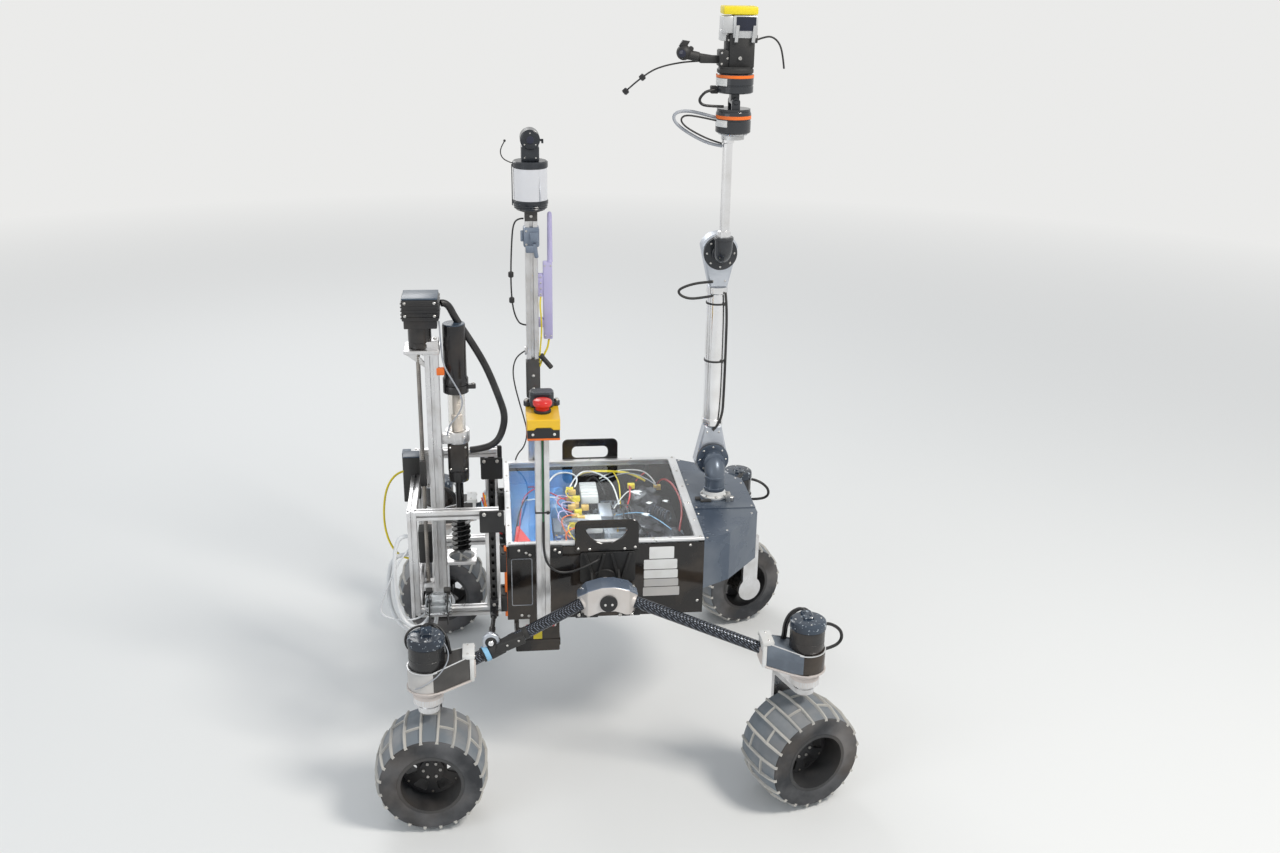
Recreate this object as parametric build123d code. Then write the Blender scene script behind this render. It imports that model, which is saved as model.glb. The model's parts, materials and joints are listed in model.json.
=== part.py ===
from build123d import *

import os
from math import cos, pi, radians, sin, sqrt, tan

# Planetary rover prototype, millimetres.
# X runs along the rover with the arm in front, Y to its left, Z up.
# The origin is on the ground, midway between the four wheels.

# Wheels and steering
lugCount = 20
lugThickness = 5.0
tyreRadius = 120.0
tyreHalfWidth = 70.0
treadRadius = 115.0
treadEdgeRadius = 107.0
treadFlat = 28.0
rimRadius = 70.0
rimBore = 63.0
boreFlats = 40
discThickness = 6.0
hubPlateRadius = 26.0
wheelX = 403.0
wheelY = 420.0
frontTurn = 20.0

# A wheel stands on two lugs, half a pitch each side of its lowest line
lugPitch = 360.0 / lugCount
lugTop = sqrt(tyreRadius**2 - (lugThickness / 2) ** 2)
wheelZ = lugTop * cos(radians(lugPitch / 2)) + lugThickness / 2 * sin(radians(lugPitch / 2))

# Steering units
canRadius = 37.5
canLow, canHigh = 370.0, 430.0
holderLow = 324.0
ringRadius = 41.0
housingReach = 88.0
flangeLip = 3.0
bossRadius = 32.0
bossLow = 302.0
legOffset = 87.0
legThickness = 10.0
legWidth = 45.0
plateLow, plateHigh = 264.0, 276.0

# Body box
bodyX = (-233.0, 203.0)
bodyHalf = 243.0
bodyLow, bodyHigh = 370.0, 545.0
wall = 4.0
windowThickness = 3.0
rimWidth = 14.0
lidTop = 555.0
deckTop = 550.0
deckLow = 430.0

# Rockers
tubeFit = 0.1
pivotX, pivotZ = -18.0, 455.0
bracketY = (297.0, 343.0)
tubeRadius, tubeBore = 13.0, 11.0
tubeStartX, tubeStartY, tubeStartZ = 45.0, 322.0, 452.0
tubeEndX, tubeEndY, tubeEndZ = 62.0, 404.0, 349.0

# Posts and mast
profile = 30.0
postX, postY = -154.0, 260.0
postLow = 380.0
estopPostHigh = 825.0
mastHigh = 1118.0

# Drill frame and drill
rail = 20.0
frameX = (-440.0, -247.0)
frameY = (-268.0, 108.0)
frameZ = (398.0, 648.0)
columnX, columnY = -383.0, -80.0
columnLow, columnHigh = 372.0, 948.0
screwX = -412.0
drillX, drillY = -334.0, -58.0

# Arm
armX = 264.0
armOffset = 62.0
shoulderZ = 628.0
elbowZ = 1128.0
wristZ = 1422.0

parts = {}


def block(x, y, z):
    """Box between low and high values of each axis."""
    size = [abs(v[1] - v[0]) for v in (x, y, z)]
    middle = [(v[1] + v[0]) / 2 for v in (x, y, z)]
    return Pos(*middle) * Box(*size)


def rod(start, end, radius):
    """Round bar between two points."""
    along = Vector(*end) - Vector(*start)
    middle = Vector(*start) + along * 0.5
    return Plane(origin=middle, z_dir=along) * Cylinder(radius, along.length)


def pipe(start, end, outer, inner):
    """Round tube between two points."""
    return rod(start, end, outer) - rod(start, end, inner)


def square(half):
    """Low and high values about zero."""
    return (-half, half)


def around(middle, half):
    """Low and high values about a place."""
    return (middle - half, middle + half)


def upright(points, y):
    """Outline in X and Z pushed along Y from y[0] to y[1]."""
    face = Plane.XZ * Polygon(*points, align=None)
    return Pos(0, y[1], 0) * extrude(face, amount=y[1] - y[0], dir=(0, -1, 0))


def flat(points, z):
    """Outline in X and Y pushed up from z[0] to z[1]."""
    return Pos(0, 0, z[0]) * extrude(Polygon(*points, align=None), amount=z[1] - z[0], dir=(0, 0, 1))


def joined(shapes):
    """Pieces that touch, fused to one."""
    whole = shapes[0]
    for shape in shapes[1:]:
        whole = whole + shape
    return whole


def both(make):
    """The same piece on the right side and on the left."""
    return [make(-1), make(1)]


def mirrored(shape, side):
    """A piece drawn for the right side, or its mirror image on the left."""
    return shape if side < 0 else mirror(shape, about=Plane.XZ)


# Corners: name, X of the wheel, side, turn of the wheel at rest
corners = [
    ("front_right", wheelX, -1, frontTurn),
    ("front_left", wheelX, 1, frontTurn),
    ("rear_right", -wheelX, -1, 0.0),
    ("rear_left", -wheelX, 1, 0.0),
]


def tyre():
    """Crowned tread, flat between its cross lugs, its axis along Z and its outer side up."""
    # Sections across the tread: height on the axis, radius out to a lug's root
    sections = [
        (-tyreHalfWidth, treadEdgeRadius), (-treadFlat, treadRadius),
        (treadFlat, treadRadius), (tyreHalfWidth, treadEdgeRadius),
    ]
    tread = loft([
        Pos(0, 0, z) * RegularPolygon(radius, lugCount, rotation=lugPitch / 2) for z, radius in sections
    ], ruled=True)
    # The bore is a ring of small flats that touch the round barrel of the wheel
    bore = extrude(RegularPolygon(rimRadius, boreFlats, major_radius=False), amount=tyreHalfWidth, both=True)
    ring = tread - bore
    rise = lugTop - treadRadius
    lugOutline = Polygon(
        (treadEdgeRadius - 6, -tyreHalfWidth), (treadEdgeRadius + rise, -tyreHalfWidth),
        (lugTop, -treadFlat), (lugTop, treadFlat), (treadEdgeRadius + rise, tyreHalfWidth),
        (treadEdgeRadius - 6, tyreHalfWidth), align=None,
    )
    lug = Pos(0, lugThickness / 2, 0) * extrude(Plane.XZ * lugOutline, amount=lugThickness)
    turns = [Rot(0, 0, (n + 0.5) * lugPitch - 90) * lug for n in range(lugCount)]
    return ring + turns


def rim():
    """Barrel with a pierced disc and the hub plate, axis along Z, outer side up."""
    barrel = Cylinder(rimRadius, 2 * tyreHalfWidth) - Cylinder(rimBore, 2 * tyreHalfWidth)
    disc = Pos(0, 0, discThickness / 2) * Cylinder(rimBore, discThickness)
    window = fillet(Polygon((32, -9), (56, -17), (56, 17), (32, 9), align=None).vertices(), 4)
    hole = extrude(window, amount=discThickness)
    holes = [Rot(0, 0, 60 * n) * hole for n in range(6)]
    plate = Pos(0, 0, discThickness + 3) * Cylinder(hubPlateRadius, 6)
    boss = Pos(0, 0, -2.5) * Cylinder(12, 5)
    return barrel + (disc - holes) + plate + boss


def placedWheel(shape, x, side, turn):
    """A wheel piece drawn axis up, set on its hub and turned with the steering."""
    return Pos(x, side * wheelY, 0) * Rot(0, 0, turn) * Pos(0, 0, wheelZ) * Rot(-side * 90, 0, 0) * shape


def steeringLeg(side):
    """Plate under the steering boss and leg down the wheel's inner side, about its axis."""
    inner = -side
    head = block(square(legWidth / 2), (0, inner * (legOffset + legThickness / 2)), (plateLow, plateHigh))
    head = head + Pos(0, 0, (plateLow + plateHigh) / 2) * Cylinder(legWidth / 2, plateHigh - plateLow)
    leg = block(square(legWidth / 2), around(inner * legOffset, legThickness / 2), (wheelZ, plateHigh))
    foot = rod(
        (0, inner * (legOffset - legThickness / 2), wheelZ), (0, inner * (legOffset + legThickness / 2), wheelZ), 34
    )
    neck = Pos(0, 0, (plateHigh + 286) / 2) * Cylinder(20, 286 - plateHigh)
    boss = Pos(0, 0, (286 + 300) / 2) * Cylinder(bossRadius, 14)
    return joined([head, leg, foot, neck, boss])


def hubMotor(side):
    """Motor on the leg, reaching into the wheel from its inner side."""
    inner = -side
    return rod((0, inner * (legOffset - legThickness / 2), wheelZ), (0, inner * 6, wheelZ), 30)


for name, x, side, turn in corners:
    axis = Pos(x, side * wheelY, 0) * Rot(0, 0, turn)
    parts["tyre_" + name] = placedWheel(tyre(), x, side, turn)
    parts["wheel_" + name] = placedWheel(rim(), x, side, turn)
    parts["steering_leg_" + name] = axis * steeringLeg(side)
    parts["hub_motor_" + name] = axis * hubMotor(side)


# Rockers, all one with the body
# Arms: X of the wheel, way the arm points
arms = [(wheelX, 1), (-wheelX, -1)]


def tubePoints(x, way):
    start = (pivotX + way * tubeStartX, -tubeStartY, tubeStartZ)
    end = (x - way * tubeEndX, -tubeEndY, tubeEndZ)
    return start, end


def tubeSpan(x, way, radius):
    start, end = tubePoints(x, way)
    return rod(start, end, radius)


def rockerTubes(side):
    return [mirrored(tubeSpan(x, way, tubeRadius) - tubeSpan(x, way, tubeBore), side) for x, way in arms]


def pivotBracket(side):
    """Arched clamp in flat facets that holds both tubes, with the shaft to the body's wall."""
    front = [(-65, -30), (-65, 8), (-46, 28), (-14, 37), (14, 37), (46, 28), (65, 8), (65, -30), (38, -30),
             (16, -21), (-16, -21), (-38, -30)]
    # Seen from above, its ends slant back beside the middle face
    plan = [(-65, -297), (65, -297), (65, -321), (45, -343), (-45, -343), (-65, -321)]
    clamp = upright([(pivotX + x, pivotZ + z) for x, z in front], (-bracketY[1], -bracketY[0]))
    clamp = clamp & flat([(pivotX + x, y) for x, y in plan], around(pivotZ, 50))
    for x, way in arms:
        clamp = clamp - tubeSpan(x, way, tubeRadius + tubeFit)
    shaft = rod((pivotX, -bracketY[0], pivotZ), (pivotX, -bodyHalf, pivotZ), 16)
    flange = rod((pivotX, -bodyHalf, pivotZ), (pivotX, -bodyHalf - 8, pivotZ), 34)
    cap = rod((pivotX, -bracketY[1], pivotZ), (pivotX, -bracketY[1] - 5, pivotZ), 19)
    return mirrored(clamp + shaft + flange + cap, side)


def taper(x, way, grow, side):
    """Box that narrows from the ring to the tube, between the lines of its side view, (reach, Z)."""
    reach = housingReach + grow
    plan = [
        (x, -wheelY - 38 - grow), (x - way * reach, -wheelY - 7 - grow), (x - way * reach, -wheelY + 38 + grow),
        (x, -wheelY + 38 + grow),
    ]
    heights = [z for _, z in side]
    body = upright([(x - way * out, z) for out, z in side], (-wheelY - 60, -wheelY + 60))
    return body & flat(plan, (min(heights), max(heights)))


def steeringHolder(x, way, side):
    """Ring round the steering gearbox with a rising box that grips the tube's end, on a flange."""
    low, reach, lip = holderLow, housingReach, flangeLip
    ring = Pos(x, -wheelY, (low + canLow) / 2) * Cylinder(ringRadius, canLow - low)
    boss = Pos(x, -wheelY, (bossLow + low) / 2) * Cylinder(bossRadius, low - bossLow)
    box = taper(x, way, 0, [(0, low), (34, low), (reach, low + 10), (reach, low + 64), (0, low + 42)])
    under = [(0, low - 4), (34, low - 4), (reach + lip, low + 6), (reach + lip, low + 10), (34, low), (0, low)]
    flange = taper(x, way, lip, under) + Pos(x, -wheelY, low - 2) * Cylinder(ringRadius + lip, 4)
    # Clamp plate across the box's open end, with its upper jaw lying on the box
    end = block((x - way * reach, x - way * (reach + 9)), (-wheelY - 10, -wheelY + 41), (low + 6, low + 68))
    jaw = block((x - way * reach, x - way * (reach - 14)), (-wheelY - 8, -wheelY + 39), (low + 58, low + 68))
    can = Pos(x, -wheelY, canHigh) * Cylinder(ringRadius, 2 * (canHigh - canLow))
    whole = joined([ring, (box - can), flange, boss, end, jaw])
    return mirrored(whole - tubeSpan(x, way, tubeRadius + tubeFit), side)


def steeringMotor(x, way, side):
    """Upright motor can with a cable hump on its lid."""
    can = Pos(x, -wheelY, (canLow + canHigh) / 2) * Cylinder(canRadius, canHigh - canLow)
    lid = Pos(x, -wheelY, canHigh + 3.5) * Cone(canRadius, canRadius - 6, 7)
    hump = block(around(x, 11), (-wheelY - 6, -wheelY + 30), (canHigh, canHigh + 14))
    return mirrored(can + lid + hump, side)


def tubeJoint(side):
    """Collar on the rear tube with a round ear, and on the right the link from it to the drill frame."""
    start, end = [Vector(*p) for p in tubePoints(-wheelX, -1)]
    along = (end - start).normalized()
    middle = start + (end - start) * 0.76
    ring = rod(tuple(middle - along * 16), tuple(middle + along * 16), 18)
    eyeX, eyeZ, eyeRadius, eyeHalf = middle.X + 4, middle.Z + 25, 13, 5
    ear = upright(
        [(middle.X - 13, middle.Z), (middle.X + 22, middle.Z + 8), (eyeX + eyeRadius, eyeZ), (eyeX - eyeRadius, eyeZ)],
        around(middle.Y, eyeHalf),
    )
    ear = ear + rod((eyeX, middle.Y - eyeHalf, eyeZ), (eyeX, middle.Y + eyeHalf, eyeZ), eyeRadius)
    joint = ring + ear - tubeSpan(-wheelX, -1, tubeRadius + tubeFit)
    if side > 0:
        return mirrored(joint, side)
    linkX = frameX[1] - profile / 2
    link = rod((eyeX, middle.Y + eyeHalf, eyeZ), (linkX, frameY[0] - 12, 412), 5)
    clevis = block(around(linkX, 9), (frameY[0] - 14, frameY[0]), (400, 440))
    return joined([joint, link, clevis])


parts["rocker_tubes"] = both(rockerTubes)
parts["pivot_brackets"] = both(pivotBracket)
parts["steering_holders"] = [[steeringHolder(x, way, s) for x, way in arms] for s in (-1, 1)]
parts["steering_motors"] = [[steeringMotor(x, way, s) for x, way in arms] for s in (-1, 1)]
parts["tube_joints"] = both(tubeJoint)


# Body box, lid and front deck
inside = (bodyX[0] + wall, bodyX[1] - wall)
shell = block(bodyX, square(bodyHalf), (bodyLow, bodyHigh))
shell = shell - block(inside, square(bodyHalf - wall), (bodyLow + wall, bodyHigh))
parts["body_shell"] = shell

windowHigh = bodyHigh + windowThickness
parts["lid_window"] = block(bodyX, square(bodyHalf), (bodyHigh, windowHigh))
lidRing = block(bodyX, square(bodyHalf), (windowHigh, lidTop))
lidHole = block(
    (bodyX[0] + rimWidth, bodyX[1] - rimWidth), square(bodyHalf - rimWidth), (windowHigh, lidTop)
)
parts["lid_frame"] = lidRing - lidHole

deckOutline = [(bodyX[1], -243), (268, -203), (350, -100), (350, 100), (268, 203), (bodyX[1], 243)]
# The middle panel, which carries the arm, stands proud of the two side panels
middlePanelHalf, panelStep = 76.0, 2.0
sideTop = deckTop - panelStep
parts["front_deck"] = flat(deckOutline, (deckLow, sideTop)) + block(
    (bodyX[1], 350), square(middlePanelHalf), (sideTop, deckTop)
)

handleX, handleZ = (-84.0, 56.0), (533.0, 607.0)
slotX, slotZ = (-60.0, 31.0), (557.0, 588.0)


def carryHandle(side):
    plate = block(handleX, (-bodyHalf - 6, -bodyHalf), handleZ)
    plate = fillet(plate.edges().filter_by(Axis.Y).sort_by(Axis.Z)[-2:], 12)
    slot = block(slotX, (-bodyHalf - 6, -bodyHalf), slotZ)
    slot = fillet(slot.edges().filter_by(Axis.Y), 9)
    return mirrored(plate - slot, side)


parts["carry_handles"] = both(carryHandle)

# Electronics seen through the lid: x, y, z of each box
modules = [
    ((-222, -150), (-190, -20), (374, 505)),
    ((-222, -150), (0, 150), (374, 480)),
    ((-120, -40), (-150, -40), (374, 490)),
    ((-120, -20), (10, 90), (374, 470)),
    ((0, 90), (-180, -60), (374, 460)),
    ((0, 110), (-30, 60), (374, 495)),
    ((120, 190), (-200, -20), (374, 515)),
    ((-60, 120), (110, 210), (374, 450)),
]
parts["electronics"] = [block(*m) for m in modules]
parts["battery_box"] = block((-216, -116), (-200, -60), (262, bodyLow))


# Side post with the stop button, and the sensor mast
def slotted(middle, size, z):
    """Square aluminium profile with a groove down each face."""
    x, y = middle
    bar = block(around(x, size / 2), around(y, size / 2), z)
    groove = size * 0.27
    depth = size * 0.2
    for dx, dy in ((1, 0), (-1, 0), (0, 1), (0, -1)):
        cx, cy = x + dx * (size / 2 - depth / 2), y + dy * (size / 2 - depth / 2)
        wide = depth if dx else groove
        deep = depth if dy else groove
        bar = bar - block(around(cx, wide / 2), around(cy, deep / 2), z)
    return bar


coreRadius, coreDepth = 3.4, 25.0


def core(y):
    """Tapped core hole in the open lower end of a post."""
    return Pos(postX, y, postLow + coreDepth / 2) * Cylinder(coreRadius, coreDepth)


parts["estop_post"] = slotted((postX, -postY), profile, (postLow, estopPostHigh)) - core(-postY)
parts["mast_profile"] = slotted((postX, postY), profile, (postLow, mastHigh)) - core(postY)
stopX, stopY = -152.0, (-325.0, -225.0)
parts["estop_box"] = block(around(stopX, 34), stopY, (estopPostHigh, estopPostHigh + 45))
stopTop = estopPostHigh + 45
parts["estop_button"] = joined([
    Pos(stopX, -275, stopTop + 5) * Cylinder(15, 10),
    Pos(stopX, -275, stopTop + 16) * Cone(15, 20, 12),
    Pos(stopX, -275, stopTop + 25) * Cylinder(20, 6),
])

lidarZ = (1188.0, 1300.0)
lidarRadius = 41.5
clampZ = (1094.0, 1148.0)
outerClamp = block(around(postX, 21), around(postY, 21), clampZ)
outerClamp = outerClamp - block(around(postX, 15), around(postY, 15), (clampZ[0], mastHigh))
stalk = block(around(postX, 17), around(postY, 17), (clampZ[1], lidarZ[0] - 10))
seat = Pos(postX, postY, lidarZ[0] - 5) * Cylinder(34, 10)
parts["mast_clamps"] = joined([outerClamp, stalk, seat])
parts["lidar_body"] = [
    Pos(postX, postY, lidarZ[0] + 11) * Cylinder(lidarRadius, 22),
    Pos(postX, postY, lidarZ[1] - 8) * Cylinder(lidarRadius, 16),
]
parts["lidar_window"] = (
    Pos(postX, postY, (lidarZ[0] + 22 + lidarZ[1] - 16) / 2)
    * Cylinder(lidarRadius - 1.5, lidarZ[1] - lidarZ[0] - 38)
)
parts["mast_camera"] = joined([
    block(around(postX, 21), around(postY, 21), (lidarZ[1], lidarZ[1] + 32)),
    rod((postX, postY - 26, lidarZ[1] + 50), (postX, postY + 26, lidarZ[1] + 50), 23),
])
parts["radio"] = joined([
    block((-127, -105), around(postY, 12), (870, 1060)),
    rod((-110, postY, 1060), (-110, postY, 1180), 7),
    block((postX + profile / 2, -127), around(postY, 10), (990, 1030)),
])


# Drill frame
near = (frameY[0], frameY[0] + rail)
far = (frameY[1] - rail, frameY[1])
left = (frameX[0], frameX[0] + rail)
right = (frameX[1] - profile, frameX[1])
low = (frameZ[0], frameZ[0] + rail)
high = (frameZ[1] - rail, frameZ[1])
frameBars = [block(left, y, frameZ) for y in (near, far)]
frameBars += [block(right, y, frameZ) for y in (near, far)]
frameBars += [block(frameX, y, z) for y in (near, far) for z in (low, high)]
frameBars += [block(left, frameY, z) for z in (low, high)]
parts["drill_frame"] = joined(frameBars)

# Black spacers hold the frame's uprights to the body's rear wall, and brackets tie its upper corners
spacerY = [(frameY[0], -205), (60, frameY[1])]
bracketsY = [(frameY[0] - 6, frameY[0]), (frameY[1], frameY[1] + 6)]
parts["corner_plates"] = [block((frameX[1], bodyX[0]), y, z) for y in spacerY for z in ((404, 440), (500, 540))]
parts["corner_plates"] += [block((-290, -238), y, (626, 652)) for y in bracketsY]


# Drill lift: a plate with rollers on the frame, and the column that slides on it
columnBack = columnY + profile / 2
parts["lift_plate"] = joined([
    block((frameX[0] + rail, -367), (-60, -52), (614, 708)),
    block((frameX[0] + rail, -410), (-60, 88), (628, 648)),
    *[block(around(columnX, 13), (columnBack + 0.5, -60), z) for z in ((620, 650), (672, 702))],
])
parts["drill_column"] = slotted((columnX, columnY), profile, (columnLow, columnHigh))
parts["lead_screw"] = rod((screwX, columnY, columnLow + 20), (screwX, columnY, columnHigh), 5)
parts["column_plates"] = [
    block((-440, -364), (-116, -44), (columnHigh, columnHigh + 8)),
    block((-430, -398), (-94, -66), (columnLow, columnLow + 20)),
]
# Plate on the column's foot that the auger runs through
guideZ = (436.0, 444.0)
guideRadius = 29.0
guide = block((columnX + profile / 2, -300), (-95, -24), guideZ)
parts["auger_guide"] = guide - rod((drillX, drillY, guideZ[0]), (drillX, drillY, guideZ[1]), guideRadius)
parts["lift_motor"] = joined([
    Pos(screwX + 6, columnY, 980) * Cylinder(25, 48),
    block((-437, -367), (-114, -46), (1004, 1022)),
    block((-440, -363), (-118, -42), (1022, 1072)),
])
parts["drill_motor"] = joined([
    rod((drillX, drillY, 862), (drillX, drillY, 998), 25),
    rod((drillX, drillY, 844), (drillX, drillY, 862), 28),
])
parts["drill_tube"] = pipe((drillX, drillY, 755), (drillX, drillY, 844), 19, 16)
parts["drill_gearbox"] = joined([
    rod((drillX, drillY, 633), (drillX, drillY, 728), 23),
    block((-367.5, -311), (-84, -66), (728, 755)),
    rod((drillX, drillY, 728), (drillX, drillY, 755), 23),
])
# Auger: a shaft with one flight wound round it, down to a pointed tip
shaftRadius, flightRadius, flightThickness = 9.0, 22.0, 3.0
flightPitch, flightTurns, flightLow = 12.0, 7, 456.0
turnSteps = 16


def flight():
    """Helical blade in flat facets, its root sunk in the shaft."""
    # Blade's section: radius and height about its middle
    root, half = shaftRadius - 1.5, flightThickness / 2
    section = [(root, -half), (flightRadius, -half), (flightRadius, half), (root, half)]
    steps = [n / turnSteps for n in range(turnSteps * flightTurns + 1)]
    rings = [
        [Vector(r * cos(2 * pi * turn), r * sin(2 * pi * turn), flightPitch * turn + z) for r, z in section]
        for turn in steps
    ]
    outlines = [rings[0], rings[-1]]
    for here, above in zip(rings, rings[1:]):
        for n in range(len(section)):
            after = (n + 1) % len(section)
            outlines += [[here[n], here[after], above[after]], [here[n], above[after], above[n]]]
    faces = [Face(Wire.make_polygon(corners, close=True)) for corners in outlines]
    return Pos(drillX, drillY, flightLow) * Solid(Shell(faces))


parts["auger"] = joined([
    rod((drillX, drillY, 452), (drillX, drillY, 632.5), shaftRadius),
    Pos(drillX, drillY, 448) * Cone(2, shaftRadius, 8),
    flight(),
])


# Arm
def tearDrop(y):
    """Joint housing: a round end on the axis and a neck up to the tube."""
    neck = Pos(0, 76) * Rectangle(40, 12)
    outline = make_hull([*Circle(43).edges(), *neck.edges()])
    return Pos(armX, y[1], 0) * extrude(Plane.XZ * outline, amount=y[1] - y[0])


housingY = (armOffset - 18, armOffset + 24)
tubeY = armOffset + 3
bendRadius = 30
parts["arm_base"] = Pos(armX, 0, deckTop + 8) * Cylinder(26, 16)
turretLow = deckTop + 16.5
turretPath = FilletPolyline(
    (armX, 0, turretLow), (armX, 0, shoulderZ), (armX, housingY[0] - 10, shoulderZ), radius=bendRadius
)
turretBend = sweep(Pos(armX, 0, turretLow) * Circle(24), path=turretPath)
shoulderRing = rod((armX, housingY[0] - 10, shoulderZ), (armX, housingY[0] - 1, shoulderZ), 38)
parts["arm_turret"] = joined([turretBend, shoulderRing])

upperTube = rod((armX, tubeY, shoulderZ + 82), (armX, tubeY, elbowZ - 82), 23)
parts["upper_arm_tube"] = joined([
    upperTube,
    rod((armX, tubeY, shoulderZ + 82), (armX, tubeY, shoulderZ + 98), 25),
    rod((armX, tubeY, elbowZ - 98), (armX, tubeY, elbowZ - 82), 25),
])
parts["arm_housings"] = [
    Pos(0, 0, shoulderZ) * tearDrop(housingY),
    Pos(armX, 0, elbowZ) * Rot(0, 180, 0) * Pos(-armX, 0, 0) * tearDrop(housingY),
]
forearmPath = FilletPolyline(
    (armX, housingY[0] - 10, elbowZ), (armX, 0, elbowZ), (armX, 0, elbowZ + 46), radius=bendRadius
)
forearmStart = Plane(origin=(armX, housingY[0] - 10, elbowZ), z_dir=(0, -1, 0))
elbowRing = rod((armX, housingY[0] - 10, elbowZ), (armX, housingY[0] - 1, elbowZ), 38)
parts["forearm_drive"] = joined([sweep(forearmStart * Circle(20), path=forearmPath), elbowRing])
parts["forearm_tube"] = joined([
    rod((armX, 0, elbowZ + 46), (armX, 0, wristZ - 36), 11),
    rod((armX, 0, elbowZ + 46), (armX, 0, elbowZ + 60), 15),
])

# Wrist: a roll drive, a fork that tilts, and the tool drive
wristX = armX + 10
rollLow, rollHigh = wristZ - 36, wristZ + 24
tiltZ = 1466.0
toolLow = 1484.0
parts["wrist_drive"] = Pos(wristX, 0, (rollLow + rollHigh) / 2) * Cylinder(38, rollHigh - rollLow)
cheekY, cheekHalf, cheekRound = 22.0, 3.0, 9.0
pinRadius, pinClearance = 5.0, 0.3


def cheek(y):
    """Upright ear of the fork, rounded about the pin so that the tool drive swings past it."""
    ear = block(around(wristX, cheekRound), around(y, cheekHalf), (rollHigh + 1, tiltZ))
    end = rod((wristX, y - cheekHalf, tiltZ), (wristX, y + cheekHalf, tiltZ), cheekRound)
    bore = rod((wristX, y - cheekHalf, tiltZ), (wristX, y + cheekHalf, tiltZ), pinRadius + pinClearance)
    return ear + end - bore


parts["wrist_fork"] = joined([Pos(wristX, 0, rollHigh + 3) * Cylinder(36, 5), cheek(-cheekY), cheek(cheekY)])
parts["tool_drive"] = joined([
    Pos(wristX, 0, toolLow + 20) * Cylinder(40, 40),
    rod((wristX, -18, tiltZ), (wristX, 18, tiltZ), cheekRound),
    rod((wristX, -cheekY - 5, tiltZ), (wristX, cheekY + 5, tiltZ), pinRadius),
    block(around(wristX, 9), square(14), (tiltZ, toolLow)),
])
parts["tool_body"] = joined([
    Pos(wristX, 0, toolLow + 48) * Cylinder(39, 13),
    block(around(wristX + 12, 25), square(25), (toolLow + 54, 1600)),
    block((armX - 18, armX + 56), square(22), (1600, 1662)),
])


# Cables and hoses that hang free on the rover: diameter, then the route's points by hand
def tightest(points):
    """Largest arcs that the route's runs allow, one for each corner."""
    radii = []
    for before, here, after in zip(points, points[1:], points[2:]):
        arriving, leaving = Vector(*here) - Vector(*before), Vector(*after) - Vector(*here)
        shorter = min(arriving.length, leaving.length)
        radii.append(0.45 * shorter / tan(radians(arriving.get_angle(leaving) / 2)))
    return radii


def cable(diameter, points):
    radii = tightest(points)
    path = FilletPolyline(*points, radius=radii)
    start = Plane(origin=points[0], z_dir=Vector(*points[1]) - Vector(*points[0]))
    tube = sweep(start * Circle(diameter / 2), path=path)
    print("cable", round(path.length, 1), "radii", [round(r) for r in radii], "of its section",
          round(tube.volume / (pi * diameter**2 / 4 * path.length), 3))
    return tube


def steeringCable(x, way, side):
    """From the hump on a steering motor's lid into its housing."""
    route = [(0, 30, 440.6), (0, 41, 440.6), (-9, 51, 438), (-24, 52, 430), (-36, 46, 418), (-43, 37, 404), (-45.5, 29, 388),
             (-48, 29, 378)]
    return cable(7, [(x + way * out, side * (wheelY - y), z) for out, y, z in route])


hanging = [
    # Stop button's lead, out of its post's groove and into the body's side
    (5, [(-153, -272, 620), (-153, -272.5, 588), (-153, -279, 558), (-149, -285, 532), (-135, -289, 513), (-114, -288, 504),
         (-90, -283, 504), (-66, -276, 510), (-46, -269, 516), (-30, -259, 520), (-30, -243, 520)]),
    # Sensor's lead down the mast
    (4, [(-171, 260, 1164), (-185, 260, 1164), (-196, 260, 1150), (-200, 260, 1112), (-203, 260, 1055), (-204, 260, 1000),
         (-201, 260, 950), (-193, 260, 920), (-181, 260, 903), (-163, 260, 903)]),
    # Loop on the frame's left side
    (5, [(-440, 0, 636), (-462, 0, 636), (-486, -2, 622), (-503, -4, 592), (-511, -6, 545), (-511, -6, 496), (-501, -4, 452),
         (-484, -2, 424), (-462, 2, 409), (-440, 2, 409)]),
    # Two hoses beside the near left upright, turned up under the frame
    (9, [(-440, -258, 590), (-456, -258, 590), (-467, -260, 568), (-472, -264, 528), (-473, -268, 480), (-469, -275, 436),
         (-457, -286, 404), (-438, -295, 390), (-418, -296, 393), (-405, -287, 404), (-402, -280, 408), (-402, -268, 408)]),
    (9, [(-440, -253, 545), (-460, -253, 545), (-479, -252, 528), (-486, -252, 492), (-488, -256, 452), (-482, -264, 416),
         (-466, -275, 390), (-444, -282, 375), (-418, -281, 369), (-396, -270, 372), (-388, -258, 382), (-388, -258, 398)]),
]
parts["cables"] = [cable(diameter, points) for diameter, points in hanging]
parts["cables"] += [steeringCable(x, 1 if x > 0 else -1, side) for name, x, side, turn in corners]


def flatten(shape):
    """All solids of a node, from nested lists of pieces."""
    if isinstance(shape, (list, tuple)) and not hasattr(shape, "wrapped"):
        return [solid for piece in shape for solid in flatten(piece)]
    return list(shape.solids())


os.makedirs("parts", exist_ok=True)
for name, shape in parts.items():
    solids = flatten(shape)
    export_step(solids[0] if len(solids) == 1 else Compound(children=solids), f"parts/{name}.step")
    print(name, len(solids))
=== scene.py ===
import json
import math
from collections import defaultdict

import bmesh
import bpy
from mathutils import Matrix, Vector
from mathutils import noise as mathNoise


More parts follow.
